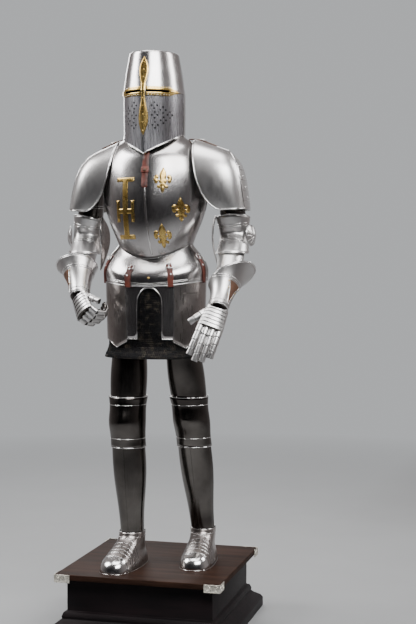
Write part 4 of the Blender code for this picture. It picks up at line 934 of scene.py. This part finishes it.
# %% [markdown]
# The arms on the breast are sawn from sheet brass. Their outlines come first, as a sawyer scribes them:
# half a lily in shares of its size with its mirror, and a tall cross with a bar across each end. They
# are laid on the planished breastplate by a ray from the front.

# %% Outlines of the breast's brass
FRONT_Y = -1.0


def from_front(x, height):
    """Where a ray to the suit starts, well in front of it."""
    return Vector((x, FRONT_Y, SOLE + height))


def on_breast(x, height, out):
    """Wraps the breastplate, as it is seen from the front."""
    spot, normal = met("breastplate", from_front(x, height), INWARDS)
    return spot + normal * out


def fleur_outline(x, height, size):
    """A heraldic lily: half an outline in shares of its size, and its mirror."""
    half = [
        (0.000, -0.500), (0.075, -0.400), (0.090, -0.300), (0.062, -0.225), (0.130, -0.310), (0.215, -0.300),
        (0.235, -0.210), (0.160, -0.185), (0.100, -0.120), (0.165, -0.115), (0.172, -0.040), (0.215, -0.070),
        (0.245, -0.130), (0.345, -0.100), (0.385, 0.040), (0.350, 0.160), (0.255, 0.205), (0.180, 0.160),
        (0.185, 0.075), (0.235, 0.055), (0.200, 0.010), (0.125, 0.030), (0.158, 0.150), (0.130, 0.290),
        (0.060, 0.410), (0.000, 0.500),
    ]
    wide, tall = 0.95, 1.12
    curve = flowing(half, 3)
    left = [(-a, b) for a, b in reversed(curve[1:-1])]
    return [(x + a * size * wide, height + b * size * tall) for a, b in curve + left]


def potent_outline(x, height):
    """A tall cross with a bar across each end."""
    arm, cap, half_cap, rise = 0.0095, 0.0072, 0.033, 0.106
    reach, half, low, side_cap, side_bar = 0.035, 0.0085, -0.010, 0.037, 0.011
    right = [(half_cap, -rise), (half_cap, -rise + 2 * cap), (arm, -rise + 2 * cap), (arm, low - half)]
    right += [(reach - side_bar, low - half), (reach - side_bar, low - side_cap), (reach, low - side_cap)]
    right += [(reach, low + side_cap), (reach - side_bar, low + side_cap), (reach - side_bar, low + half)]
    right += [(arm, low + half), (arm, rise - 2 * cap), (half_cap, rise - 2 * cap), (half_cap, rise)]
    left = [(-a, b) for a, b in reversed(right)]
    return [(x + a, height + b) for a, b in right + left]


print("outlines: a lily of", len(fleur_outline(0, 0, 1)), "points, a cross of", len(potent_outline(0, 0)))

# %% [markdown]
# The sheets are chased from behind, so each lobe swells towards its middle, and the cross is fixed by
# eight rivets. Rivets stand where rays meet the plate, and face the way the plate faces there.

# %% Brass on the breast
CROSS_X, CROSS_HEIGHT = -0.069, 1.263
LILIES = [
    # x, height, size
    (0.066, 1.358, 0.080),
    (0.122, 1.258, 0.074),
    (0.061, 1.168, 0.076),
]


def studs_on(name, node, starts, finish, slot, radius, tall, out=0.0, way=INWARDS):
    """Rivets on a plate, where rays from the starts meet it."""
    hits = [met(node, start, way) for start in starts]
    points = [spot + normal * out for spot, normal in hits if spot is not None]
    ways = [normal for spot, normal in hits if spot is not None]
    return grow(name, RIVETS, points, finish, slot, facing=ways, Radius=radius, Height=tall)


laid_sheet("cross_potent", potent_outline(CROSS_X, CROSS_HEIGHT), on_breast, BRASS, "brass", "breast_cross",
           dome=1.6 * MM, slope=4.5 * MM)
for number, lily in enumerate(LILIES, 1):
    laid_sheet(f"lily_{number}", fleur_outline(*lily), on_breast, BRASS, "brass",
               f"breast_lily_{number}", dome=3.0 * MM, slope=6.5 * MM)
corners = [(a, b) for a in (-1, 1) for b in (-1, 1)]
starts = [from_front(CROSS_X + a * 0.0295, CROSS_HEIGHT - 0.010 + b * 0.030) for a, b in corners]
starts += [from_front(CROSS_X + a * 0.026, CROSS_HEIGHT + b * 0.0995) for a, b in corners]
studs_on("cross_rivets", "breastplate", starts, BRASS, "brass", 3.0 * MM, 2.6 * MM, out=2.2 * MM)
print("on the breast: a cross with", len(starts), "rivets, and", len(LILIES), "lilies")

# %% [markdown]
# Leather straps carry the skirt plates and tie the helm down. A strap is cut from 2.5 mm hide with its
# edges rubbed round, so the frame's flat strips are smoothed and take the hide's grain. The two that
# hold the shoulders are of the browner hide.

# %% Straps
STRAPS = ["helm_strap", "helm_strap_keeper", "shoulder_strap_l", "shoulder_strap_r"]
STRAPS += [f"skirt_strap_{number}" for number in range(1, 5)]
for node in STRAPS:
    planish(node, GLOVE if node.startswith("shoulder") else LEATHER, "leather", levels=1)
print("straps:", len(STRAPS))

# %% [markdown]
# Jointed armour is made of lames, narrow plates that overlap like roof tiles. Each lame's edge is a
# line across the plate. A line is found by rays: from all round, towards a middle, in a plane across an
# axis, and where they meet the plate is the line. A thin bead swept along it is the lame's filed edge.

# %% Lines across plates
RAY_START = 0.3
TRUNK_MIDDLE = Vector((0, BODY_Y, SOLE))
TRUNK_TURN = 7.0
HOOP_FRONT, HOOP_SIDE, HOOP_LINES = 0.993, 1.013, (0.006, 0.0105)


def girdle(node, middle, axis, start, sweep, steps=28):
    """Points where rays from outside meet a plate, round an axis and centred on the start direction."""
    axis = axis.normalized()
    ahead = (start - axis * start.dot(axis)).normalized()
    aside = axis.cross(ahead)
    line = []
    for degrees in spread(-sweep, sweep, steps):
        way = ahead * math.cos(math.radians(degrees)) + aside * math.sin(math.radians(degrees))
        line.append(met(node, middle + way * RAY_START, -way)[0])
    return [spot for spot in line if spot is not None]


def seam_line(node, middles, axis, start):
    """A line along a plate, with one point beside each middle."""
    return [spot for middle in middles for spot in girdle(node, middle, axis, start, 0.5, 1)[:1]]


def traced(node, spots):
    """Points of a plate, seen from the front at each x and height."""
    line = [met(node, from_front(x, height), INWARDS)[0] for x, height in spots]
    return [spot for spot in line if spot is not None]


lines = []
for rise in HOOP_LINES:
    line = []
    for degrees in spread(-86, 86, 60):
        turn = math.radians(degrees + TRUNK_TURN)
        way = Vector((math.sin(turn), -math.cos(turn), 0))
        height = HOOP_FRONT + (HOOP_SIDE - HOOP_FRONT) * math.sin(turn) ** 2 + rise
        line.append(met("fauld_front", TRUNK_MIDDLE + UP * height + way * 0.4, -way)[0])
    lines.append([spot for spot in line if spot is not None])
beads("hoop_lines", lines, 0.8 * MM)
ridge = [(0.005 + 0.013 * share, 1.335 - 0.232 * share) for share in spread(0, 1, 30)]
beads("breast_ridge", [traced("breastplate", ridge)], 3.2 * MM)
mark = [(0.126, s) for s in spread(0.930, 0.970, 8)] + [(x, 0.970) for x in spread(0.130, 0.164, 8)]
beads("tasset_line", [traced("tasset_l", mark)], 0.9 * MM, SMOKED_LEG_AND_SHADE_STEEL)
studs_on("fauld_rivet", "fauld_front", [from_front(0.012, 1.0226)], BRASS, "brass", 4.0 * MM, 2.6 * MM)
print("lines round the hoop:", [len(line) for line in lines], "points")

# %% [markdown]
# Each arm has its own pose, so its joints are named points, and every line and lame on it is worked out
# from them.

# %% The arms' joints
ARMS = {
    # elbow, wrist, along the hand, back of the hand, first and later bends of the fingers
    "l": (
        (0.275, 0.000, 1.170), (0.266, -0.200, 0.924), (-0.23, -0.46, -0.86), (0.30, -0.85, 0.35),
        -4.0, -5.0,
    ),
    "r": (
        (-0.275, 0.000, 1.170), (-0.242, -0.170, 0.960), (0.42, -0.48, -0.77), (-0.60, -0.78, 0.16),
        -45.0, -48.0,
    ),
}
SHOULDERS = {"l": Vector((0.262, -0.020, 1.370)), "r": Vector((-0.236, -0.020, 1.370))}


def outwards(side):
    """The way out from the trunk on this side of the wearer."""
    return Vector((1 if side == "l" else -1, 0, 0))


def forearm(side):
    """The elbow, the wrist, and the way from the wrist to the elbow."""
    elbow, wrist = (Vector(joint) + UP * SOLE for joint in ARMS[side][:2])
    return elbow, wrist, (elbow - wrist).normalized()


print("forearms:", [round((forearm(side)[0] - forearm(side)[1]).length, 3) for side in "lr"], "m long")

# %% [markdown]
# The lines run down the side of the shoulder, round the elbow, along the forearm and round the cuff. The
# rosette outside the elbow is fluted like a shell, with lines that run out from its hub.

# %% Lames and lines of the arms
# Heights above the soles, then distances from the elbow, towards the shoulder or, below nought, the wrist.
SHOULDER_LAMES = (1.290, 1.326, 1.362, 1.398)
ELBOW_LAMES_BELOW, ELBOW_LAMES_ABOVE, UPPER_ARM_LINES = (-0.052, -0.044), (0.036, 0.044), (0.112, 0.12)
# Distances from the wrist towards the elbow.
CUFF_LINES, SEAM_START, SEAM_END = (0.014, 0.094, 0.101), 0.12, 0.21
FLUTES = 10
for side in "lr":
    out = outwards(side)
    elbow, wrist, fore = forearm(side)
    shoulder = SHOULDERS[side] + UP * SOLE
    upper = (shoulder - elbow).normalized()
    lines = []
    for height in SHOULDER_LAMES:
        middle = Vector((shoulder.x - out.x * 0.03, -0.02, SOLE + height))
        lines.append(girdle("pauldron_side_" + side, middle, UP, out, 62.0))
    beads("shoulder_lames_" + side, lines, 1.3 * MM)
    heads = [line[6 if side == "l" else -7] for line in lines]
    starts = [head + out * 0.05 + UP * 0.012 for head in heads]
    studs_on("shoulder_rivets_" + side, "pauldron_side_" + side, starts, BURNISHED_AND_HIGHLIGHT_STEEL, "steel",
             3.2 * MM, 2.4 * MM, way=-out)
    lines = [girdle("couter_" + side, elbow + bone * along, bone, FORWARD, 150.0)
             for bone, lames in ((fore, ELBOW_LAMES_BELOW), (upper, ELBOW_LAMES_ABOVE)) for along in lames]
    beads("elbow_lames_" + side, lines, 1.1 * MM)
    lines = [girdle("rerebrace_" + side, elbow + upper * along, upper, FORWARD, 150.0)
             for along in UPPER_ARM_LINES]
    beads("upper_arm_lines_" + side, lines, 0.9 * MM)
    lines = [girdle("gauntlet_cuff_" + side, wrist + fore * along, fore, FORWARD, 175.0, 60)
             for along in CUFF_LINES]
    beads("cuff_lines_" + side, lines, 1.3 * MM)
    middles = [wrist + fore * along for along in spread(SEAM_START, SEAM_END, 10)]
    seam = seam_line("vambrace_" + side, middles, fore, out + FORWARD * 0.4)
    beads("forearm_seam_" + side, [seam], 1.0 * MM)
    rosette = "elbow_rosette_" + side
    low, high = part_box(rosette)
    lines = []
    for turn in (math.radians(360.0 / FLUTES * number) for number in range(FLUTES)):
        reach = Vector((0, (high.y - low.y) / 2 * math.cos(turn), (high.z - low.z) / 2 * math.sin(turn)))
        starts = [(low + high) / 2 + out * 0.1 + reach * share for share in spread(0.15, 0.85, 6)]
        flute = [met(rosette, start, -out)[0] for start in starts]
        lines.append([spot for spot in flute if spot is not None])
    beads("rosette_flutes_" + side, lines, 1.2 * MM)
    print(side, "arm: forearm seam of", len(seam), "points,", len(lines), "flutes on its rosette")

# %% [markdown]
# A cuff's outer side is slit, and a gore of brown hide, riveted in with brass, closes the slit. The gore
# is laid on the cuff by the same rays that find the lines, and opens out from the wrist to the rim.

# %% Gores of the cuffs
GORE = [(-0.005, 0.012), (0.005, 0.012), (0.013, 0.055), (0.027, 0.089), (-0.027, 0.089), (-0.013, 0.055)]
CUFF_RADIUS = 0.055
for side in "lr":
    _, wrist, fore = forearm(side)
    outer = outwards(side) + FORWARD * 0.5
    ahead = (outer - fore * outer.dot(fore)).normalized()
    aside = fore.cross(ahead)
    cuff = "gauntlet_cuff_" + side

    def cuff_wrap(u, along, lift):
        """Wraps the cuff's outer side: u metres round, and along the forearm."""
        turn = u / CUFF_RADIUS
        way = ahead * math.cos(turn) + aside * math.sin(turn)
        spot, normal = met(cuff, wrist + fore * along + way * 0.2, -way)
        return spot + normal * lift

    laid_sheet("cuff_gore_" + side, GORE, cuff_wrap, GLOVE, "leather", wall=0.6 * MM, dome=0.9 * MM,
               slope=4.0 * MM, step=3.0 * MM)
    lips = [[cuff_wrap(s * (0.005 + 0.023 * k), 0.010 + 0.080 * k ** 0.8, 0.6 * MM) for k in spread(0, 1, 14)]
            for s in (-1, 1)]
    beads("cuff_slit_" + side, lips, 1.3 * MM)
    flat = [(s * (0.0100 + 0.0225 * k), 0.014 + 0.074 * k ** 0.8) for s in (-1, 1) for k in (0.25, 0.6, 0.94)]
    spots = [cuff_wrap(u, along, 0.8 * MM) for u, along in flat]
    ways = [cuff_wrap(u, along, 9 * MM) - spot for spot, (u, along) in zip(spots, flat)]
    grow("gore_rivets_" + side, RIVETS, spots, BRASS, "brass", facing=ways, Radius=2.6 * MM, Height=2.0 * MM)
    print(side, "cuff: a gore with", len(spots), "rivets")

# %% [markdown]
# The backs of the hands and the fingers are covered with scales, each a small plate bent over the digit
# and flared where it overlaps the next. One function makes a scale between two places on a centre line.

# %% Scales of the gauntlets
SCALE_WALL = 1.0 * MM


def scale_rows(start, end, across, up, half_width, half_depth, flare, reach=8.0, steps=8):
    """Three rows of points of a scale that is bent over a digit from side to side."""
    rows = []
    for share, swell in ((-0.05, 0.0), (0.6, 0.35), (1.02, 1.0)):
        middle = start.lerp(end, share)
        row = []
        for degrees in spread(-reach, 180 + reach, steps):
            turn = math.radians(degrees)
            wide, deep = half_width + flare * swell, half_depth + flare * swell
            row.append(middle + across * math.cos(turn) * wide + up * math.sin(turn) * deep)
        rows.append(row)
    return rows


def joined_scales(name, scales, finish):
    """One mesh of many scales, each with a wall."""
    points, faces = [], []
    for rows in scales:
        columns = len(rows[0])
        for i in range(len(rows) - 1):
            for j in range(columns - 1):
                a = len(points) + i * columns + j
                faces.append((a, a + 1, a + columns + 1, a + columns))
        points += [p for row in rows for p in row]
    obj = new_object(name, mesh_from(name, points, faces, finish))
    wall = obj.modifiers.new("wall", "SOLIDIFY")
    wall.thickness = SCALE_WALL
    wall.offset = 1.0
    fair = obj.modifiers.new("bend", "SUBSURF")
    fair.levels = fair.render_levels = 1
    baked(obj)
    mesh = bmesh.new()
    mesh.from_mesh(obj.data)
    bmesh.ops.recalc_face_normals(mesh, faces=mesh.faces)
    mesh.to_mesh(obj.data)
    mesh.free()
    obj.data.shade_smooth()
    return place(obj, "steel")


print("a scale's wall:", SCALE_WALL / MM, "mm")

# %% [markdown]
# Each finger and the thumb is a chain of lames: it starts at its knuckle, turns by its bend at each
# joint, and tapers a little from lame to lame. The back of the hand has its own broad lames, from the
# wrist to the knuckles.

# %% The hands
FINGER_LAMES, FINGER_LENGTHS = (0.035, 0.033, 0.030, 0.027), (0.93, 1.05, 1.0, 0.84)
THUMB_LAMES, THUMB_BENDS = (0.030, 0.024, 0.022), (0.0, -10.0, -10.0)
KNUCKLES, FINGER_PITCH, FINGER_FAN = 0.072, 0.0214, 0.02
FINGER_HALF_WIDTH, FINGER_HALF_DEPTH, FINGER_TAPER = 0.0106 * 1.1, 0.0090, 0.04
HAND_LAMES = spread(0.004, 0.080, 6)
HAND_HALF_WIDTH, HAND_HALF_DEPTH = 0.0375, 0.0235


def digit_lines(side, wrist, along, back, across):
    """Root, heading, lengths of the lames and bends of the four fingers and the thumb."""
    knuckle, bend = ARMS[side][4:]
    digits = []
    for number, length in enumerate(FINGER_LENGTHS):
        aside = number - 1.5
        root = wrist + along * KNUCKLES + across * aside * FINGER_PITCH
        lames = [lame * length for lame in FINGER_LAMES]
        digits.append((root, along + across * aside * FINGER_FAN, lames, (knuckle, bend, bend, bend)))
    root = wrist + along * 0.020 - across * 0.029 - back * 0.004
    digits.append((root, along - across * 0.75, THUMB_LAMES, THUMB_BENDS))
    return digits


for side in "lr":
    _, wrist, _ = forearm(side)
    along, back = Vector(ARMS[side][2]).normalized(), Vector(ARMS[side][3])
    back = (back - along * back.dot(along)).normalized()
    across = along.cross(back).normalized() * (-1 if side == "l" else 1)
    scales = []
    for root, heading, lames, bends in digit_lines(side, wrist, along, back, across):
        heading = heading.normalized()
        sideways = heading.cross(back).normalized()
        spot = root
        for number, (length, turn) in enumerate(zip(lames, bends)):
            heading = Matrix.Rotation(math.radians(turn), 3, sideways) @ heading
            narrower = 1 - FINGER_TAPER * number
            size = (FINGER_HALF_WIDTH * narrower + 0.5 * MM, FINGER_HALF_DEPTH * narrower + 1.0 * MM)
            end = spot + heading * length
            scales.append(scale_rows(spot, end, sideways, sideways.cross(heading), *size, 1.3 * MM))
            spot = end
    for number, (near, far) in enumerate(zip(HAND_LAMES, HAND_LAMES[1:])):
        half_width = HAND_HALF_WIDTH + 0.0055 * number / 5 + 1.0 * MM
        half_depth = HAND_HALF_DEPTH - 0.006 * number / 5 + 1.2 * MM
        ends = (wrist + along * near, wrist + along * far)
        scales.append(scale_rows(*ends, across, back, half_width, half_depth, 1.6 * MM, reach=-6.0, steps=14))
    joined_scales("hand_scales_" + side, scales, SATIN_STEEL)
    print(side, "hand:", len(scales), "scales")

# %% [markdown]
# The feet are lames as well: a toe cap, five narrow lames over the instep, and a collar at the ankle.
# The toe cap takes a paler, glossier steel on the faces ahead of its line, a painted highlight, and the lames
# behind it keep the darker, smokier steel as painted shade. The shin plate has a ridge in front and closes
# with a seam at its side.

# %% Lames of the legs and feet
LEGS = {
    # knee, ankle, turn of the toes
    "l": ((0.118, 0.005, 0.500), (0.142, 0.070, 0.100), 3.0),
    "r": ((-0.103, -0.062, 0.500), (-0.087, -0.056, 0.100), -7.0),
}
TOE_CAP, COLLAR, FOOT_MIDDLE = 0.150, 0.100, 0.006
FOOT_LAMES = (0.064, 0.080, 0.096, 0.112, 0.128, TOE_CAP)
KNEE_LAMES = (0.452, 0.572)
for side, (knee, ankle, toe_turn) in LEGS.items():
    knee, ankle = Vector(knee) + UP * SOLE, Vector(ankle) + UP * SOLE
    toe = Matrix.Rotation(math.radians(toe_turn), 3, "Z") @ FORWARD
    heel = Vector((ankle.x, ankle.y, SOLE))
    foot = bpy.data.objects["plate_sabaton_" + side].data
    # The faces ahead of the toe cap's line take the paler steel, a painted highlight.
    foot.materials.append(BURNISHED_AND_HIGHLIGHT_STEEL)
    for face in foot.polygons:
        face.material_index = int((face.center - heel).dot(toe) > TOE_CAP)
    lines = [girdle("sabaton_" + side, heel + toe * reach + UP * FOOT_MIDDLE, toe, UP, 88.0)
             for reach in FOOT_LAMES]
    lines.append(girdle("sabaton_" + side, heel + UP * COLLAR, UP, toe, 178.0, 40))
    beads("foot_lames_" + side, lines, 1.3 * MM)
    middles = [ankle.lerp(knee, share) for share in spread(0.04, 0.90, 16)]
    shin = [seam_line("greave_" + side, middles, UP, start) for start in (FORWARD, outwards(side))]
    beads("shin_lines_" + side, shin, 1.1 * MM, SMOKED_LEG_AND_SHADE_STEEL)
    lines = [girdle("poleyn_" + side, Vector((knee.x, knee.y, SOLE + height)), UP, FORWARD, 100.0)
             for height in KNEE_LAMES]
    beads("knee_lames_" + side, lines, 1.2 * MM)
    print(side, "leg:", len(FOOT_LAMES), "lines over the foot,", len(shin[0]), "points down the shin")

# %% [markdown]
# A buckle is a bent wire frame with a tongue across it. Here it is one closed line and one open line in
# the plane that touches the strap, and the same swept wire as the rims gives both their thickness.

# %% Buckles and keepers
def buckle_lines(spot, normal, up, half_width, half_height):
    """The frame of a buckle as a closed line with cut corners, and its tongue."""
    side = up.cross(normal).normalized()
    up = normal.cross(side)
    spot = spot + normal * 2.0 * MM
    cut = 0.7
    corners = [(1, cut), (cut, 1), (-cut, 1), (-1, cut)]
    corners += [(-1, -cut), (-cut, -1), (cut, -1), (1, -cut), (1, cut)]
    wire = [spot + side * a * half_width + up * b * half_height for a, b in corners]
    return [wire, [spot + up * half_height, spot + normal * 1.5 * MM, spot - up * half_height * 1.1]]


BUCKLE_DROP, STUD_DROP = 0.012, 0.040
lines, spots, ways = [], [], []
for number in range(1, 5):
    strap = f"skirt_strap_{number}"
    low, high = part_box(strap)
    way = (low + high) / 2 - TRUNK_MIDDLE
    way = Vector((way.x, way.y, 0)).normalized()
    start = Vector((TRUNK_MIDDLE.x, TRUNK_MIDDLE.y, high.z - BUCKLE_DROP)) + way * 0.4
    lines += buckle_lines(*met(strap, start, -way), UP, 12.5 * MM, 8.0 * MM)
    start = Vector((TRUNK_MIDDLE.x, TRUNK_MIDDLE.y, high.z - STUD_DROP)) + way * 0.4
    spot, normal = met(strap, start, -way)
    spots.append(spot)
    ways.append(normal)
for side in "lr":
    strap = "shoulder_strap_" + side
    low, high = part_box(strap)
    middle = (low + high) / 2
    spot, normal = met(strap, (middle.x, middle.y, 2.5), -UP)
    lines += buckle_lines(spot, normal, Vector((1, 0, 0)), 15.0 * MM, 9.0 * MM)
beads("strap_buckles", lines, 1.5 * MM)
grow("strap_studs", RIVETS, spots, BURNISHED_AND_HIGHLIGHT_STEEL, "steel", facing=ways, Radius=3.4 * MM, Height=2.4 * MM)
studs_on("keeper_stud", "helm_strap_keeper", [from_front(0.004, 1.394)], GLOVE, "leather", 6.5 * MM, 4.0 * MM)
print("buckles:", len(lines) // 2, "and studs:", len(spots) + 1)

# %% [markdown]
# Mail is rows of interlinked rings. Only its lower band and the part in the arch show, so rings stand
# only there, one on each crossing of rows and columns, every other row turned the other way. A ring of
# real mail is 9 mm across, and it is drawn at that size.

# %% Rings of the mail skirt
RING_PITCH, ROW_PITCH = 9.0 * MM, 7.5 * MM
HEM, BAND_TOP, ARCH_TOP = 0.746, 0.835, 1.0
ALL_ROUND, ARCH_REACH, RING_LEAN = 180.0, 24.0, 0.55
# The skirt's wall behind the rings takes the near-black backing, painted shade.
planish("mail_skirt", SHADE_BACKING, "mail", levels=1)
skirt_low, skirt_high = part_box("mail_skirt")
middle = Vector(((skirt_low.x + skirt_high.x) / 2, (skirt_low.y + skirt_high.y) / 2, 0))
around_hips = math.pi * ((skirt_high.x - skirt_low.x) + (skirt_high.y - skirt_low.y)) / 2
points, ways = [], []
for row in range(int((ARCH_TOP - HEM) / ROW_PITCH)):
    height = HEM + row * ROW_PITCH
    half_turn = ALL_ROUND if height < BAND_TOP else ARCH_REACH
    columns = int(around_hips / RING_PITCH * half_turn / 180.0)
    for column in range(columns):
        turn = math.radians(-half_turn + 2 * half_turn * (column + row % 2 / 2) / columns)
        way = Vector((-math.sin(turn), math.cos(turn), 0))
        start = Vector((middle.x, middle.y, SOLE + height)) - way * 0.4
        spot, normal = met("mail_skirt", start, way)
        if spot is not None:
            points.append(spot + normal * 0.8 * MM)
            ways.append(normal + normal.cross(UP).normalized() * (RING_LEAN if row % 2 else -RING_LEAN))
grow("mail_rings", MAIL_RINGS, points, RING_IRON, "mail", facing=ways, Radius=5.2 * MM, Wire=0.9 * MM)
print("mail:", len(points), "rings")

# %% [markdown]
# The plinth is joinery, with crisp but eased arrises: a planed edge always has a hair of radius, and
# that radius is what catches the light. The mounts on its corners are stamped with paired scrolls, which
# are drawn as spirals of fine wire between an upper and a lower line.

# %% Plinth
def eased_block(node, finish, slot, width):
    """A copy of a CAD block with small round arrises."""

    def clean(mesh):
        """Joins the triangles of each flat side."""
        bmesh.ops.dissolve_limit(mesh, angle_limit=math.radians(2), verts=mesh.verts, edges=mesh.edges)

    obj = copied(node, "eased_" + node, finish, clean)
    arris = obj.modifiers.new("arris", "BEVEL")
    arris.width = width
    arris.segments = 2
    arris.limit_method = "ANGLE"
    arris.angle_limit = math.radians(20)
    baked(obj)
    obj.data.shade_smooth()
    obj.data.set_sharp_from_angle(angle=SHARP_FROM)
    return place(obj, slot, node)


def scroll(eye, inwards, turns):
    """A spiral that winds in to its eye. Turns is 1, or -1 for its mirror."""
    curl = []
    for share in spread(0, 1, 22):
        turn = share * 3.5 * math.pi
        reach = (10.5 - 8.5 * share) * MM
        curl.append(eye + inwards * turns * reach * math.cos(turn) + UP * reach * math.sin(turn))
    return curl


eased_block("plinth_box", BLACK_WOOD, "wood", 1.2 * MM)
eased_block("plinth_top", MAHOGANY, "wood", 1.6 * MM)
for corner in ("fl", "fr", "bl", "br"):
    eased_block("corner_bracket_" + corner, SILVER, "silver", 0.4 * MM)
    low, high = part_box("corner_bracket_" + corner)
    x_side, y_side = (1 if "r" in corner else -1), (1 if "b" in corner else -1)
    edge = Vector((high.x if x_side > 0 else low.x, high.y if y_side > 0 else low.y, (low.z + high.z) / 2))
    scrolls = []
    for inwards in (Vector((-x_side, 0, 0)), Vector((0, -y_side, 0))):
        scrolls += [scroll(edge + inwards * far, inwards, turns) for far, turns in ((0.014, 1), (0.042, -1))]
        for rise in (UP * 12.0 * MM, UP * -12.0 * MM):
            scrolls.append([edge + inwards * far + rise for far in (0.003, 0.054)])
    beads("scrolls_" + corner, scrolls, 1.0 * MM, SILVER, "silver")
print("plinth: each corner has", len(scrolls), "lines of stamping")

# %% [markdown]
# A polished thing shows its room. The room here is a plain studio: a pale floor, grey walls that darken
# behind the camera, and a paler backdrop behind the suit. The dark part of the room gives the steel its
# depth, and the walls are greyer than the backdrop so that the steel's sides stand out before it. The
# floor fades into the same room, so no horizon shows.

# %% Floor and surround
SURROUND_DARK, SURROUND_WALL, SURROUND_PALE, SURROUND_LIGHT = "#1c1b1e", "#878180", "#b9bbbd", 1.0
BACKDROP_WAY = (-math.sin(CAMERA_TURN), math.cos(CAMERA_TURN), 0.0)
FLOOR_REACH, FADE_FROM, FADE_TO = 40, 1.8, 5.0


def surround_colour(tree, direction):
    """The room's colour in a direction: a pale backdrop, greyer walls, and dark behind the photographer."""
    axes = add_node(tree, "ShaderNodeSeparateXYZ", {0: direction})
    walls, _ = two_tones(tree, axes.outputs["Y"], SURROUND_DARK, SURROUND_WALL, -0.75, 0.35)
    facing = add_node(tree, "ShaderNodeVectorMath", {0: direction, 1: BACKDROP_WAY}, operation="DOT_PRODUCT")
    return two_tones(tree, facing.outputs["Value"], walls, SURROUND_PALE, 0.80, 0.93)[0]


PALE_FLOOR, tree, shader = start_material("matte_studio_floor")
tones = {0: pattern(tree, 3.0), 6: "#8f9091", 7: "#979899"}
set_surface(tree, shader, add_node(tree, "ShaderNodeMix", tones, data_type="RGBA").outputs[2], 0.75)
on_floor = add_node(tree, "ShaderNodeTexCoord").outputs["Object"]
way = add_node(tree, "ShaderNodeVectorMath", {0: on_floor}, operation="NORMALIZE").outputs[0]
reach = add_node(tree, "ShaderNodeVectorMath", {0: on_floor}, operation="LENGTH").outputs["Value"]
inputs = {"Color": surround_colour(tree, way), "Strength": SURROUND_LIGHT}
glow = add_node(tree, "ShaderNodeEmission", inputs)
share = add_node(tree, "ShaderNodeMapRange", {"Value": reach, "From Min": FADE_FROM, "From Max": FADE_TO})
inputs = {0: share.outputs[0], 1: shader.outputs[0], 2: glow.outputs[0]}
faded = add_node(tree, "ShaderNodeMixShader", inputs)
output = next(node for node in tree.nodes if node.type == "OUTPUT_MATERIAL")
tree.links.new(faded.outputs[0], output.inputs["Surface"])

corners = [(x * FLOOR_REACH, y * FLOOR_REACH, 0) for x, y in ((-1, -1), (1, -1), (1, 1), (-1, 1))]
floor_mesh = bpy.data.meshes.new("floor")
floor_mesh.from_pydata(corners, [], [(0, 1, 2, 3)])
floor_mesh.materials.append(PALE_FLOOR)
new_object("floor", floor_mesh)

world = bpy.data.worlds.new("studio")
bpy.context.scene.world = world
world.use_nodes = True
tree = world.node_tree
tree.nodes.clear()
direction = add_node(tree, "ShaderNodeTexCoord").outputs["Generated"]
inputs = {"Color": surround_colour(tree, direction), "Strength": SURROUND_LIGHT}
surround = add_node(tree, "ShaderNodeBackground", inputs)
add_node(tree, "ShaderNodeOutputWorld", {"Surface": surround.outputs[0]})

print("surround:", world.name, "and the floor fades into it from", FADE_FROM, "to", FADE_TO, "m")

# %% [markdown]
# Large soft boxes give the broad white lights on the plates. The key stands high to the right of the
# photographer, one hangs above, and weaker ones at the sides and behind draw the outlines.

# %% Lights
BOXES = [
    # name, place, what it faces, width, height, power
    ("key_box", (1.9, -2.6, 3.7), (0, 0, 1.5), 2.8, 1.6, 180),
    ("top_box", (0.0, -0.6, 4.4), (0, 0, 0.5), 2.6, 2.0, 110),
    ("left_box", (-3.0, -0.9, 3.6), (0, 0, 1.5), 1.8, 1.8, 130),
    ("right_box", (3.0, 1.2, 3.4), (0, 0, 1.4), 0.8, 1.8, 60),
    ("back_box", (-1.5, 3.2, 2.8), (0, 0, 1.2), 1.8, 1.8, 90),
]
for name, at, aim, width, height, power in BOXES:
    light = bpy.data.lights.new(name, "AREA")
    light.shape = "RECTANGLE"
    light.size = width
    light.size_y = height
    light.energy = power
    box = new_object(name, light)
    box.location = at
    box.rotation_euler = (Vector(aim) - Vector(at)).to_track_quat("-Z", "Y").to_euler()
print("lights:", len(bpy.data.lights))
